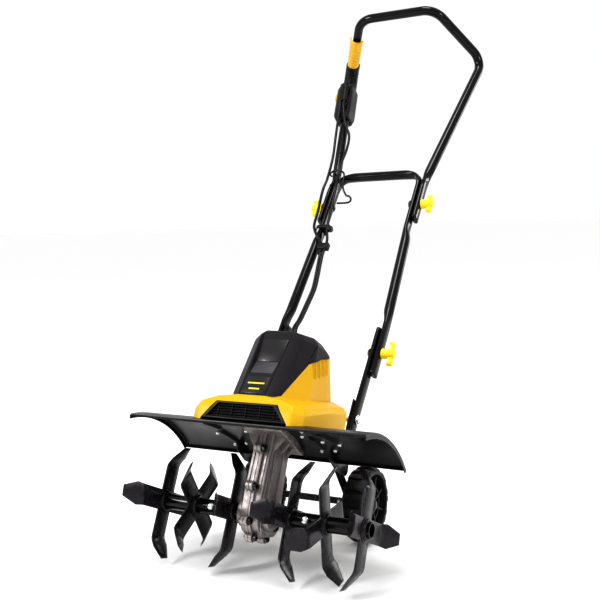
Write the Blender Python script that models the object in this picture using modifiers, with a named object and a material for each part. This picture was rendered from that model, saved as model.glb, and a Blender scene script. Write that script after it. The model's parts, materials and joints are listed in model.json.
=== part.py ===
"""Electric garden tiller, standing on its tines and transport wheels.

Units are metres, +Z up. The world origin is on the ground under the middle of the machine's box.
The machine is designed in its own frame: origin on the tine axis, local Z along the gearbox column,
local Y towards the operator, X to the machine's side. That frame leans back by LEAN on the ground.
"""

import math

import bmesh
import bpy
from mathutils import Matrix, Vector

# Driving dimensions -------------------------------------------------------------------------
LEAN = math.radians(26.3)          # gearbox column from vertical, top to the rear
AXLE_HEIGHT = 0.0936               # tine axis above the ground
ORIGIN_SHIFT_Y = -0.3335            # puts the world origin under the middle of the machine's box
GAP = 0.0003                       # clearance between touching pieces
TUBE_R = 0.0095                    # handle tubes
TUBE_WALL = 0.0015
FLAT_THICK = 0.0100                # flattened tube at a bolted joint
FLAT_WIDER = 1.25                  # how much wider than round a flattened tube is
FLAT_REACH = 0.0590                # length flattened each side of a knob's bolt
JOINT_TILT = 0.0053                # half the offset of two flattened tubes
BOLT_R = 0.0035
HUB_R = 0.0125                     # tine hub tube
HUB_BORE = 0.0098
SHAFT_R = 0.0092
PIN_X = {"left": -0.080, "right": 0.091}
STAR_X = {"left": (-0.046, -0.118, -0.181), "right": (0.057, 0.118, 0.183)}
STAR_ANGLE = {                     # up blade from local Z towards the rear, degrees
    ("left", 0): 0.0, ("left", 1): -54.0, ("left", 2): 0.0,
    ("right", 0): 0.0, ("right", 1): -28.0, ("right", 2): 0.0,
}
STAR_OUTWARD = {                   # first strip's tips bend outward, the second strip's inward
    ("left", 0): True, ("left", 1): True, ("left", 2): False,
    ("right", 0): True, ("right", 1): True, ("right", 2): False,
}
BLADE_HALF = 0.0165
BLADE_BEND_R = 0.061
BLADE_SKEW = 0.16                  # slope of the bend line across the strip
BLADE_BEND = math.radians(36.0)
BLADE_TIP = 0.037
BLADE_THICK = 0.0035
WORM_Y = 0.0215                    # worm and motor axis behind the tine axis
WHEEL_Y, WHEEL_Z, WHEEL_R = 0.1800, 0.0565, 0.0645
WHEEL_X, WHEEL_W = 0.0835, 0.036   # inner face and width
AXLE_R = 0.0045
ARM_X = 0.0735                     # wheel bracket's arms, each side
GUARD_HALF = 0.210
LOWER_PIVOT = (0.1347, 0.3134)     # lower knob axis, (y, z) in the machine's frame
UPPER_PIVOT = (0.2206, 0.6483)
CROSSBAR = (0.2408, 0.7270)
FOOT_BOLT = (0.0985, 0.1840)
JOINT_X_LOW = 0.0988
JOINT_X_UP = 0.0967
KNOB_TURN = math.radians(20)
WING_SPAN = {"lower": 0.0225, "upper": 0.0185}
GRIP_D_OUT = (0.0997, 0.2415, 0.7121)
GRIP_BEND = 0.032
GRIP_E = (0.1570, 0.3297, 1.0445)
GRIP_F = (0.0850, 0.1905, 1.0896)


# Scene set-up -------------------------------------------------------------------------------
for old in list(bpy.data.objects):
    bpy.data.objects.remove(old)
parts = bpy.data.collections.new("tiller")
cutters = bpy.data.collections.new("cutters")
bpy.context.scene.collection.children.link(parts)
bpy.context.scene.collection.children.link(cutters)


def empty(name, location=(0, 0, 0), parent=None):
    obj = bpy.data.objects.new(name, None)
    obj.location = location
    obj.parent = parent
    parts.objects.link(obj)
    return obj


machine = empty("machine_frame", (0, ORIGIN_SHIFT_Y, AXLE_HEIGHT))
machine.rotation_euler.x = -LEAN


def material(name, colour, roughness, metallic=0.0):
    mat = bpy.data.materials.new(name)
    mat.use_nodes = True
    shader = mat.node_tree.nodes["Principled BSDF"]
    shader.inputs["Base Color"].default_value = (*colour, 1.0)
    shader.inputs["Roughness"].default_value = roughness
    shader.inputs["Metallic"].default_value = metallic
    return mat


YELLOW = material("yellow_plastic", (0.85, 0.50, 0.02), 0.4)
LEMON = material("lemon_plastic", (0.90, 0.78, 0.05), 0.35)
CHARCOAL = material("charcoal_plastic", (0.03, 0.03, 0.035), 0.6)
BLACK = material("black_plastic", (0.015, 0.015, 0.015), 0.5)
STEEL_BLACK = material("black_painted_steel", (0.012, 0.012, 0.013), 0.25)
CAST = material("cast_aluminium", (0.42, 0.39, 0.37), 0.5, 0.8)
ZINC = material("zinc_plated_steel", (0.7, 0.7, 0.7), 0.3, 1.0)
STEEL = material("bright_steel", (0.55, 0.55, 0.56), 0.3, 1.0)
BRONZE = material("bronze", (0.55, 0.33, 0.12), 0.35, 1.0)
COPPER = material("copper_winding", (0.6, 0.25, 0.1), 0.4, 1.0)
RUBBER = material("black_rubber", (0.01, 0.01, 0.01), 0.7)


# Building helpers ---------------------------------------------------------------------------
def put(obj, mat=None, parent=None, at=(0, 0, 0)):
    """Link a node; its place is given in the machine's frame, its parent's origin is taken off."""
    parent = parent or machine
    obj.parent = parent
    obj.location = Vector(at) - pivot_of(parent)
    if mat:
        obj.data.materials.append(mat)
    parts.objects.link(obj)
    return obj


def pivot_of(parent):
    total = Vector((0, 0, 0))
    while parent is not None and parent is not machine:
        total += parent.location
        parent = parent.parent
    return total


def from_bmesh(name, bm, smooth=True):
    bmesh.ops.recalc_face_normals(bm, faces=bm.faces)
    mesh = bpy.data.meshes.new(name)
    bm.to_mesh(mesh)
    bm.free()
    if smooth:
        mesh.shade_smooth()
        mesh.set_sharp_from_angle(angle=math.radians(35))
    return bpy.data.objects.new(name, mesh)


def turn_to(axis):
    """Rotation that takes local Z to the named axis."""
    if axis == "X":
        return Matrix.Rotation(math.radians(90), 4, "Y")
    if axis == "Y":
        return Matrix.Rotation(math.radians(-90), 4, "X")
    return Matrix.Identity(4)


def add_cylinder(bm, radius, depth, centre, axis="Z", segments=24, radius2=None):
    matrix = Matrix.Translation(centre) @ turn_to(axis)
    top = radius if radius2 is None else radius2
    bmesh.ops.create_cone(bm, cap_ends=True, segments=segments, radius1=radius, radius2=top,
                          depth=depth, matrix=matrix)


def add_box(bm, size, centre):
    matrix = Matrix.Translation(centre) @ Matrix.Diagonal((*size, 1.0))
    bmesh.ops.create_cube(bm, size=1.0, matrix=matrix)


def cylinder(name, radius, depth, centre=(0, 0, 0), axis="Z", segments=24):
    bm = bmesh.new()
    add_cylinder(bm, radius, depth, centre, axis, segments)
    return from_bmesh(name, bm)


def box(name, size, centre=(0, 0, 0)):
    bm = bmesh.new()
    add_box(bm, size, centre)
    return from_bmesh(name, bm, smooth=False)


def bevel(obj, width, segments=1):
    mod = obj.modifiers.new("bevel", "BEVEL")
    mod.width = width
    mod.segments = segments
    mod.limit_method = "ANGLE"
    return obj


def turned(name, profile, steps=24):
    """A turned shape about local Z. The profile runs down the outer side, top to bottom."""
    bm = bmesh.new()
    points = [bm.verts.new((radius, 0, height)) for radius, height in profile]
    for first, second in zip(points, points[1:]):
        bm.edges.new((first, second))
    mesh = bpy.data.meshes.new(name)
    bm.to_mesh(mesh)
    bm.free()
    obj = bpy.data.objects.new(name, mesh)
    screw = obj.modifiers.new("turn", "SCREW")
    screw.axis = "Z"
    screw.steps = steps
    screw.render_steps = steps
    screw.use_merge_vertices = True
    screw.merge_threshold = 0.00005
    screw.use_smooth_shade = True
    return obj


def ring_profile(outer, inner, height):
    half = height / 2
    return [(inner, half), (outer, half), (outer, -half), (inner, -half), (inner, half)]


def ring(name, outer, inner, height, steps=24):
    return turned(name, ring_profile(outer, inner, height), steps)


def outline(name, points, thickness, plane="YZ"):
    """A flat outline extruded both ways. plane YZ gives a thickness along X, XY one along Z."""
    curve = bpy.data.curves.new(name, "CURVE")
    curve.dimensions = "2D"
    curve.fill_mode = "BOTH"
    curve.extrude = thickness / 2
    spline = curve.splines.new("POLY")
    spline.points.add(len(points) - 1)
    for point, (a, b) in zip(spline.points, points):
        point.co = (a, b, 0, 1)
    spline.use_cyclic_u = True
    flat = bpy.data.objects.new(name + "_outline", curve)
    mesh = to_mesh(flat, name)
    if plane == "YZ":
        mesh.transform(Matrix(((0, 0, 1, 0), (1, 0, 0, 0), (0, 1, 0, 0), (0, 0, 0, 1))))
    return bpy.data.objects.new(name, mesh)


def to_mesh(curve_object, name):
    """The curve object's shape as a welded mesh; the curve object is removed."""
    bpy.context.scene.collection.objects.link(curve_object)
    bpy.context.view_layer.update()
    graph = bpy.context.evaluated_depsgraph_get()
    mesh = bpy.data.meshes.new_from_object(curve_object.evaluated_get(graph))
    bm = bmesh.new()
    bm.from_mesh(mesh)
    bmesh.ops.remove_doubles(bm, verts=bm.verts, dist=0.00001)
    bmesh.ops.recalc_face_normals(bm, faces=bm.faces)
    bm.to_mesh(mesh)
    bm.free()
    mesh.name = name
    bpy.data.objects.remove(curve_object)
    return mesh


def cut(obj, cutter, operation="DIFFERENCE", parent=None):
    """A Boolean modifier; the cutter is given in the machine's frame or its parent's, and hidden."""
    cutter.parent = parent or machine
    cutter.hide_render = True
    cutter.display_type = "WIRE"
    cutters.objects.link(cutter)
    mod = obj.modifiers.new("cut_" + cutter.name[-20:], "BOOLEAN")
    mod.operation = operation
    mod.object = cutter
    return obj


def arc(centre, radius, start, end, count):
    """Points on an arc in a plane, angles in degrees."""
    found = []
    for i in range(count + 1):
        angle = math.radians(start + (end - start) * i / count)
        found.append((centre[0] + radius * math.cos(angle), centre[1] + radius * math.sin(angle)))
    return found


def bent_path(points, radii, steps=6):
    """A 3D polyline with each inner corner replaced by an arc; radii holds one radius a corner."""
    points = [Vector(p) for p in points]
    counts = [steps] * len(radii) if isinstance(steps, int) else steps
    path = [points[0]]
    for before, corner, after, radius, count in zip(points, points[1:], points[2:], radii, counts):
        inward = (before - corner).normalized()
        outward = (after - corner).normalized()
        half_angle = inward.angle(outward) / 2
        reach = radius / math.tan(half_angle)
        limit = 0.98 * min((before - corner).length, (after - corner).length)
        if reach > limit:
            radius *= limit / reach
            reach = limit
        bisector = (inward + outward).normalized()
        centre = corner + bisector * (radius / math.sin(half_angle))
        first = corner + inward * reach - centre
        last = corner + outward * reach - centre
        path += [centre + first.slerp(last, i / count) * radius for i in range(count + 1)]
    path.append(points[-1])
    return path


def smooth_path(points, spacing):
    """Points along a Catmull-Rom curve through the given points, about this far apart."""
    points = [Vector(p) for p in points]
    padded = [2 * points[0] - points[1]] + points + [2 * points[-1] - points[-2]]
    path = []
    for a, b, c, d in zip(padded, padded[1:], padded[2:], padded[3:]):
        count = max(1, round((c - b).length / spacing))
        for i in range(count):
            t = i / count
            path.append(0.5 * (2 * b + (c - a) * t + (2 * a - 5 * b + 4 * c - d) * t * t
                               + (3 * b - a - 3 * c + d) * t ** 3))
    path.append(points[-1])
    return path


def rod_curve(name, path, radius, resolution=4, caps=True):
    curve = bpy.data.curves.new(name, "CURVE")
    curve.dimensions = "3D"
    curve.bevel_depth = radius
    curve.bevel_resolution = resolution
    curve.use_fill_caps = caps
    spline = curve.splines.new("POLY")
    spline.points.add(len(path) - 1)
    for point, place in zip(spline.points, path):
        point.co = (*place, 1)
    return bpy.data.objects.new(name, curve)


def pipe(name, path, radius, wall, resolution=2):
    """A hollow tube along the path, open at both ends."""
    mesh = to_mesh(rod_curve(name, path, radius, resolution, caps=False), name)
    obj = bpy.data.objects.new(name, mesh)
    mesh.shade_smooth()
    shell = obj.modifiers.new("wall", "SOLIDIFY")
    shell.thickness = wall
    shell.offset = -1.0
    shell.use_even_offset = True
    return obj


def flatten(mesh, place, direction, reach, centre_x, slope=0.0):
    """Press a tube to FLAT_THICK around a bolt: thinner along X, wider across its run.

    Only the machine's side that centre_x is on is pressed. slope is the tube's lean in X.
    """
    squeeze = FLAT_THICK / (2 * TUBE_R)
    blend = 0.016
    sign = math.copysign(1, centre_x)
    for vertex in mesh.vertices:
        if vertex.co.x * sign < 0.05:
            continue
        dy, dz = vertex.co.y - place[0], vertex.co.z - place[1]
        run = dy * direction[0] + dz * direction[1]
        amount = min(1.0, max(0.0, (reach + blend - abs(run)) / blend))
        if not amount:
            continue
        middle = centre_x + sign * slope * dz
        pressed = centre_x + (vertex.co.x - middle) * squeeze
        vertex.co.x += (pressed - vertex.co.x) * amount
        wider = (FLAT_WIDER - 1) * amount
        vertex.co.y += (dy - run * direction[0]) * wider
        vertex.co.z += (dz - run * direction[1]) * wider


def along(point, direction, distance):
    return (point[0] + direction[0] * distance, point[1] + direction[1] * distance)


def unit2(a, b):
    length = math.hypot(b[0] - a[0], b[1] - a[1])
    return ((b[0] - a[0]) / length, (b[1] - a[1]) / length)


def loft(name, rings):
    """A closed skin through rings that have the same number of points, with flat ends."""
    bm = bmesh.new()
    made = [[bm.verts.new(point) for point in ring_points] for ring_points in rings]
    for lower, upper in zip(made, made[1:]):
        for i in range(len(lower)):
            j = (i + 1) % len(lower)
            bm.faces.new((lower[i], lower[j], upper[j], upper[i]))
    bm.faces.new(made[0][::-1])
    bm.faces.new(made[-1])
    bmesh.ops.triangulate(bm, faces=[f for f in bm.faces if len(f.verts) > 4])
    return from_bmesh(name, bm)


def mirrored_ring(half):
    """A full ring from its x >= 0 half, listed front to rear, both ends on the middle plane or not."""
    other = [(-x, y, z) for x, y, z in reversed(half) if x > 1e-6]
    return list(half) + other


def frame_empty(name, origin, z_axis, y_hint, parent=None):
    """An empty turned so that its local Z runs along z_axis and its local Y leans to y_hint."""
    z_dir = Vector(z_axis).normalized()
    x_dir = Vector(y_hint).cross(z_dir).normalized()
    y_dir = z_dir.cross(x_dir)
    turn = Matrix((x_dir, y_dir, z_dir)).transposed().to_4x4()
    obj = empty(name, (0, 0, 0), machine)
    base = pivot_of(parent) if parent else Vector((0, 0, 0))
    obj.parent = parent or machine
    obj.matrix_local = Matrix.Translation(Vector(origin) - base) @ turn
    return obj


def attach(obj, mat, parent, at=(0, 0, 0)):
    """Link a node whose place is given in its parent's own frame."""
    obj.parent = parent
    obj.location = at
    obj.data.materials.append(mat)
    parts.objects.link(obj)
    return obj


# The guard's arc, which the gearbox flange and the housing follow -----------------------------
GUARD_CENTRE = (-0.0353, -0.0624)
GUARD_R = 0.1984
GUARD_THICK = 0.002


def guard_arc(radius, y_from, y_to, count=14):
    """Points of the guard's circle between two local Y values."""
    start = math.degrees(math.acos((y_from - GUARD_CENTRE[0]) / radius))
    end = math.degrees(math.acos((y_to - GUARD_CENTRE[0]) / radius))
    return arc(GUARD_CENTRE, radius, start, end, count)


def below_guard_cutter(name):
    """Everything under the guard's top face, to trim what stands on it."""
    top = guard_arc(GUARD_R + GAP, -0.13, 0.0695, 20)
    shape = [(-0.13, 0.0)] + top + [(0.0695, 0.0)]
    return outline(name, shape, 0.5)


def above_guard_cutter(name):
    """Everything over the guard's lower face, to trim what is bolted up against it."""
    low = guard_arc(GUARD_R - GUARD_THICK - GAP, -0.10, 0.10, 14)
    shape = [(-0.10, 0.20)] + low + [(0.10, 0.20)]
    return outline(name, shape[::-1], 0.5)


# Gearbox --------------------------------------------------------------------------------------
def gearbox_outline(grow=0.0):
    """Side view of the casing: round sump, column with the worm shaft behind, straight top."""
    sump = arc((0.002, 0.0), 0.0340 + grow, 165, 285, 7)
    rear = arc((0.0255, -0.014), 0.0170 + grow, 290, 360, 3)
    top = 0.128
    return ([(-0.0265 - grow, top), (-0.0320 - grow, 0.030)] + sump + rear
            + [(0.0375 + grow, 0.040), (0.0340 + grow, top)])


def gearbox_half(side):
    sign = 1 if side == "right" else -1
    name = "gearbox_%s_half" % side
    half_width = 0.0165
    body = outline(name, gearbox_outline(), half_width - GAP / 2)
    body.data.transform(Matrix.Translation((sign * (half_width / 2 + GAP / 4), 0, 0)))

    def shifted(obj, centre_x):
        obj.data.transform(Matrix.Translation((sign * centre_x, 0, 0)))
        return obj

    rim = shifted(outline(name + "_rim", gearbox_outline(0.0043), 0.0052 - GAP / 2), 0.0026 + GAP / 4)
    cut(body, rim, "UNION")
    for index, (y, z) in enumerate(CASING_BOLTS):
        bm = bmesh.new()
        add_cylinder(bm, 0.0078, 0.005 - GAP / 2, (sign * (0.0025 + GAP / 4), y, z), "X", 12)
        cut(body, from_bmesh("%s_bolt_boss_%d" % (name, index), bm, False), "UNION")
    saddle = [(0.052, 0.1070), (-0.040, 0.1265), (-0.040, 0.145), (0.052, 0.145)]
    flange = shifted(outline(name + "_flange", saddle[::-1], 0.034 - GAP / 2), 0.017 + GAP / 4)
    cut(body, flange, "UNION")
    bm = bmesh.new()
    add_cylinder(bm, 0.0225, 0.014, (sign * 0.021, 0, 0), "X", 20)
    cut(body, from_bmesh(name + "_boss", bm, False), "UNION")
    for index, rib_y in enumerate((-0.018, 0.028)):
        rib = [(0.0118, 0.0960), (0.0331, 0.1193), (0.0118, 0.1193)]
        plate = outline("%s_rib_%d" % (name, index), rib, 0.004, "XY")
        turn = Matrix(((sign, 0, 0, 0), (0, 0, 1, rib_y), (0, 1, 0, 0), (0, 0, 0, 1)))
        plate.data.transform(turn)
        fix_normals(plate.data)
        cut(body, plate, "UNION")
    bm = bmesh.new()
    add_cylinder(bm, 0.0180, 0.024, (0, 0, 0), "X", 20)
    cut(body, from_bmesh(name + "_wheel_room", bm, False))
    bm = bmesh.new()
    add_cylinder(bm, HUB_R + 0.0012, 0.12, (0, 0, 0), "X", 16)
    cut(body, from_bmesh(name + "_shaft_bore", bm, False))
    bm = bmesh.new()
    add_cylinder(bm, 0.0097, 0.180, (0, WORM_Y, 0.0645), "Z", 16)
    cut(body, from_bmesh(name + "_worm_bore", bm, False))
    for index, (y, z) in enumerate(CASING_BOLTS):
        bm = bmesh.new()
        add_cylinder(bm, 0.0028, 0.04, (0, y, z), "X", 8)
        cut(body, from_bmesh("%s_bolt_hole_%d" % (name, index), bm, False))
    cut(body, above_guard_cutter(name + "_guard_room"))
    put(body, CAST)


def fix_normals(mesh):
    bm = bmesh.new()
    bm.from_mesh(mesh)
    bmesh.ops.recalc_face_normals(bm, faces=bm.faces)
    bm.to_mesh(mesh)
    bm.free()


CASING_BOLTS = ((-0.0385, 0.0990), (-0.0415, 0.0380), (-0.0390, -0.0150))


def casing_bolt(index, y, z):
    """Socket-head bolt through both rims, head on the right."""
    bm = bmesh.new()
    add_cylinder(bm, 0.0024, 0.0200, (0.0, y, z), "X", 8)
    body = from_bmesh("casing_bolt_%d" % index, bm)
    bm = bmesh.new()
    add_cylinder(bm, 0.0055, 0.0070, (0.0050 + GAP + 0.0035, y, z), "X", 12)
    cut(body, from_bmesh("casing_bolt_%d_head" % index, bm, False), "UNION")
    put(body, BLACK)


for half in ("left", "right"):
    gearbox_half(half)
for number, place in enumerate(CASING_BOLTS, 1):
    casing_bolt(number, *place)


# Tine drive -----------------------------------------------------------------------------------
tine_pivot = empty("tine_pivot", (0, 0, 0), machine)
motor_pivot = empty("motor_pivot", (0, WORM_Y, 0), machine)


def tine_shaft():
    obj = cylinder("tine_shaft", SHAFT_R, 0.200, axis="X", segments=20)
    for side, x in PIN_X.items():
        bm = bmesh.new()
        add_cylinder(bm, 0.0034, 0.06, (x, 0, 0), "Y", 10)
        cut(obj, from_bmesh("shaft_pin_hole_" + side, bm, False))
    put(obj, STEEL, tine_pivot)


def worm_wheel():
    """Toothed wheel on the tine shaft; the teeth are shallow and stay clear of the worm."""
    points = []
    teeth = 24
    for i in range(teeth * 2):
        angle = 2 * math.pi * i / (teeth * 2)
        radius = 0.0152 if i % 2 else 0.0138
        points.append((radius * math.cos(angle), radius * math.sin(angle)))
    obj = outline("worm_wheel", points, 0.012)
    bm = bmesh.new()
    add_cylinder(bm, SHAFT_R + GAP, 0.05, (0, 0, 0), "X", 20)
    cut(obj, from_bmesh("worm_wheel_bore", bm, False))
    put(obj, BRONZE, tine_pivot)


def worm_shaft():
    """One bar from the sump to the motor's end bearing, with the worm cut on its lower end."""
    profile = [(0.0, 0.262), (0.0050, 0.262), (0.0050, 0.018)]
    turns = 5
    for i in range(turns):
        top = 0.014 - i * 0.0056
        profile += [(0.0044, top), (0.0060, top - 0.0023)]
    profile += [(0.0040, -0.0155), (0.0040, -0.0230), (0.0, -0.0230)]
    put(turned("worm_shaft", profile, 14), STEEL, motor_pivot, (0, WORM_Y, 0))


def hub(side):
    sign = 1 if side == "right" else -1
    length = 0.162
    centre = sign * (0.0325 + length / 2)
    obj = ring("tine_hub_" + side, HUB_R, HUB_BORE, length, 20)
    obj.data.transform(turn_to("X"))
    obj.modifiers["turn"].axis = "X"
    obj.data.transform(Matrix.Translation((centre, 0, 0)))
    bm = bmesh.new()
    add_cylinder(bm, 0.0034, 0.06, (PIN_X[side], 0, 0), "Y", 10)
    cut(obj, from_bmesh("hub_pin_hole_" + side, bm, False))
    put(obj, STEEL_BLACK, tine_pivot)


def clevis_pin(side):
    """Pin through the hub and shaft along local Y, its head to the front."""
    bm = bmesh.new()
    add_cylinder(bm, 0.0030, 0.0440, (0, 0.003, 0), "Y", 12)
    body = from_bmesh("clevis_pin_" + side, bm)
    bm = bmesh.new()
    add_cylinder(bm, 0.0056, 0.0030, (PIN_X[side], -0.0195, 0), "Y", 16)
    cut(body, from_bmesh("clevis_head_" + side, bm, False), "UNION")
    put(body, ZINC, tine_pivot, (PIN_X[side], 0, 0))


def blade_skin(name, angle, outward_sign):
    """One half-strip: flat from the hub, then bent sideways at a skewed line to a blunt point."""
    stations = [  # distance along the strip, half width
        (0.0, BLADE_HALF), (BLADE_BEND_R, BLADE_HALF), (BLADE_BEND_R + 0.013, BLADE_HALF * 1.12),
        (BLADE_BEND_R + BLADE_TIP, BLADE_HALF * 0.52),
    ]
    bm = bmesh.new()
    rows = []
    for distance, half in stations:
        row = []
        for side in (-1, 1):
            across = side * half
            bend_at = BLADE_BEND_R + BLADE_SKEW * across
            reach = distance + (BLADE_SKEW * across if distance else 0.0)
            beyond = max(0.0, reach - bend_at)
            radial = min(reach, bend_at) + beyond * math.cos(BLADE_BEND)
            row.append(bm.verts.new((outward_sign * beyond * math.sin(BLADE_BEND), across, radial)))
        rows.append(row)
    for lower, upper in zip(rows, rows[1:]):
        bm.faces.new((lower[0], lower[1], upper[1], upper[0]))
    bm.transform(Matrix.Rotation(-angle, 4, "X"))
    mesh = bpy.data.meshes.new(name)
    bm.to_mesh(mesh)
    bm.free()
    obj = bpy.data.objects.new(name, mesh)
    return obj


def star(side, index):
    """Two crossed strips on a hub ring, welded to one piece."""
    sign = 1 if side == "right" else -1
    name = "tine_star_%s_%d" % (side, index + 1)
    up = math.radians(STAR_ANGLE[(side, index)])
    first_out = STAR_OUTWARD[(side, index)]
    hub_ring = cylinder(name, 0.0190, 0.0060, axis="X", segments=20)
    hub_ring.data.transform(Matrix.Translation((STAR_X[side][index], 0, 0)))
    for quarter in range(4):
        outward = first_out if quarter % 2 == 0 else not first_out
        if (side, index) == ("left", 1):
            outward = quarter in (1, 2)
        blade = blade_skin("%s_blade_%d" % (name, quarter), up + quarter * math.pi / 2,
                           sign if outward else -sign)
        plate = blade.modifiers.new("plate", "SOLIDIFY")
        plate.thickness = BLADE_THICK
        plate.offset = 0.0
        blade.location = (STAR_X[side][index], 0, 0)
        cut(hub_ring, blade, "UNION")
    bm = bmesh.new()
    add_cylinder(bm, HUB_R + 2 * GAP, 0.03, (STAR_X[side][index], 0, 0), "X", 20)
    cut(hub_ring, from_bmesh(name + "_bore", bm, False))
    put(hub_ring, STEEL_BLACK, tine_pivot)


tine_shaft()
worm_wheel()
worm_shaft()
put(ring("worm_lower_bearing", 0.0092, 0.0043, 0.0060), STEEL, machine, (0, WORM_Y, -0.0200))
for half in ("left", "right"):
    hub(half)
    clevis_pin(half)
    for plane in range(3):
        star(half, plane)


# Guard ----------------------------------------------------------------------------------------
def tine_guard():
    """Curved sheet over the tines with a hole for the motor and small lips at both ends."""
    outer = guard_arc(GUARD_R, -0.111, 0.068)
    inner = guard_arc(GUARD_R - GUARD_THICK, -0.111, 0.068)
    obj = outline("tine_guard", outer + inner[::-1], 2 * GUARD_HALF)
    lip_inner = guard_arc(GUARD_R - 0.009, -0.100, 0.062, 8)
    lip_outer = guard_arc(GUARD_R - 0.0005, -0.100, 0.062, 8)
    for side in (-1, 1):
        lip = outline("guard_lip_%d" % side, lip_outer + lip_inner[::-1], 0.002)
        lip.data.transform(Matrix.Translation((side * (GUARD_HALF - 0.001), 0, 0)))
        cut(obj, lip, "UNION")
        bm = bmesh.new()
        for slot_x, slot_y in ((0.085, 0.020), (0.110, 0.000), (0.135, -0.020), (0.105, 0.045), (0.140, 0.015)):
            add_cylinder(bm, 0.0055, 0.05, (side * slot_x, slot_y, 0.130), "Z", 8)
        cut(obj, from_bmesh("guard_slots_%d" % side, bm, False))
    bm = bmesh.new()
    add_cylinder(bm, 0.016, 0.08, (0, WORM_Y, 0.130), "Z", 20)
    cut(obj, from_bmesh("guard_motor_hole", bm, False))
    put(obj, STEEL_BLACK)


# Motor ----------------------------------------------------------------------------------------
def motor():
    base = turned("motor_base", [(0.012, 0.144), (0.0345, 0.144), (0.0345, 0.1590), (0.0375, 0.1590),
                                 (0.0375, 0.090), (0.0345, 0.090), (0.0345, 0.139), (0.012, 0.139),
                                 (0.012, 0.144)], 28)
    cut(base, below_guard_cutter("guard_room_motor"))
    put(base, CHARCOAL, machine, (0, WORM_Y, 0))
    fan = turned("cooling_fan", [(0.0053, 0.1575), (0.0100, 0.1575), (0.0100, 0.1490), (0.0300, 0.1490),
                                 (0.0300, 0.1460), (0.0053, 0.1460), (0.0053, 0.1575)], 24)
    for index in range(9):
        angle = 2 * math.pi * index / 9
        blade = box("fan_blade_%d" % index, (0.020, 0.0016, 0.0085), (0.0195, 0, 0.1530))
        blade.data.transform(Matrix.Translation((0, WORM_Y, 0)) @ Matrix.Rotation(angle, 4, "Z"))
        cut(fan, blade, "UNION")
    put(fan, BLACK, motor_pivot, (0, WORM_Y, 0))
    put(ring("motor_stator", 0.0372, 0.0245, 0.046, 28), STEEL, machine, (0, WORM_Y, 0.1825))
    armature = turned("motor_armature", [(0.0053, 0.228), (0.0120, 0.228), (0.0120, 0.210), (0.0180, 0.206),
                                         (0.0235, 0.203), (0.0235, 0.163), (0.0180, 0.160), (0.0053, 0.160),
                                         (0.0053, 0.228)], 24)
    put(armature, COPPER, motor_pivot, (0, WORM_Y, 0))
    end_frame = ring("motor_end_frame", 0.0165, 0.0113, 0.009, 24)
    put(end_frame, CHARCOAL, machine, (0, WORM_Y, 0.2460))
    for side in (-1, 1):
        cut(end_frame, box("end_frame_arm_%d" % side, (0.0200, 0.010, 0.004), (side * 0.0240, WORM_Y, 0.2470)),
            "UNION")
        cut(end_frame, box("end_frame_post_%d" % side, (0.005, 0.010, 0.0430), (side * 0.0330, WORM_Y, 0.2275)),
            "UNION")
    put(ring("motor_top_bearing", 0.0110, 0.0053, 0.007), STEEL, machine, (0, WORM_Y, 0.2460))


# Housing --------------------------------------------------------------------------------------
def shoulder_z(y, base, slope=0.25):
    return base + (y + 0.100) * slope


BODY_BASE = ((0.083, -0.1050), (0.099, -0.0920), (0.1075, -0.030), (0.1060, 0.040), (0.0770, 0.0780),
             (0.045, 0.0960))
BODY_EDGE = ((0.078, -0.1015), (0.093, -0.0885), (0.1015, -0.030), (0.1000, 0.038), (0.0720, 0.0740),
             (0.043, 0.0910))
BODY_SHELF = ((0.055, -0.0965), (0.064, -0.0860), (0.0690, -0.030), (0.0680, 0.038), (0.0630, 0.0700),
              (0.040, 0.0880))
TOWER_FOOT = ((0.0240, -0.0925), (0.0426, -0.0800), (0.0640, -0.020), (0.0640, 0.040), (0.0600, 0.0700),
              (0.038, 0.0880))
TOWER_TOP = ((0.0280, -0.0508), (0.0460, -0.0390), (0.0580, -0.010), (0.0580, 0.025), (0.0560, 0.0420),
             (0.034, 0.0600))
CROWN = ((0.0230, -0.0440), (0.0380, -0.0360), (0.0470, -0.010), (0.0470, 0.022), (0.0440, 0.0340),
         (0.026, 0.0480))


def body_rings(inset=0.0):
    """The outer skin's rings from the ground side up, or the inner skin's with an inset."""
    def pull(x, y):
        return (x - inset, y - math.copysign(inset, y - 0.01))

    def level(flat, heights):
        half = []
        for (x, y), z in zip(flat, heights):
            nx, ny = pull(x, y)
            half.append((nx, ny, z))
        return mirrored_ring(half)

    low = -0.010 if inset else 0.0
    rings = [level(BODY_BASE, [low + 0.105] * 4 + [low + 0.117, low + 0.122])]
    rings.append(level(BODY_BASE, [shoulder_z(y, 0.150, 0.22) - inset for x, y in BODY_BASE]))
    rings.append(level(BODY_EDGE, [shoulder_z(y, 0.158) - inset for x, y in BODY_EDGE]))
    rings.append(level(BODY_SHELF, [shoulder_z(y, 0.164) - inset for x, y in BODY_SHELF]))
    rings.append(level(TOWER_FOOT, [shoulder_z(y, 0.168, 0.18) - inset for x, y in TOWER_FOOT]))
    rings.append(level(TOWER_TOP, (0.2836 - inset, 0.2770 - inset, 0.2790 - inset, 0.2790 - inset,
                                   0.2770 - inset, 0.2770 - inset)))
    rings.append(level(CROWN, (0.2925 - inset, 0.2895 - inset, 0.2925 - inset, 0.2915 - inset,
                               0.2885 - inset, 0.2885 - inset)))
    return rings


HOOD_LINE = ((-0.150, 0.1690), (-0.0860, 0.1705), (-0.0760, 0.1760), (-0.0260, 0.2430), (0.0100, 0.2620),
             (0.0485, 0.2745), (0.1200, 0.2960))
GRILLE = (0.0760, 0.0540, 0.1265, 0.1545)   # bottom and top half widths, bottom and top heights


def hood_region(name, shift):
    line = [(y, z + shift) for y, z in HOOD_LINE]
    return outline(name, line + [(0.120, 0.36), (-0.150, 0.36)], 0.4)


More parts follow.
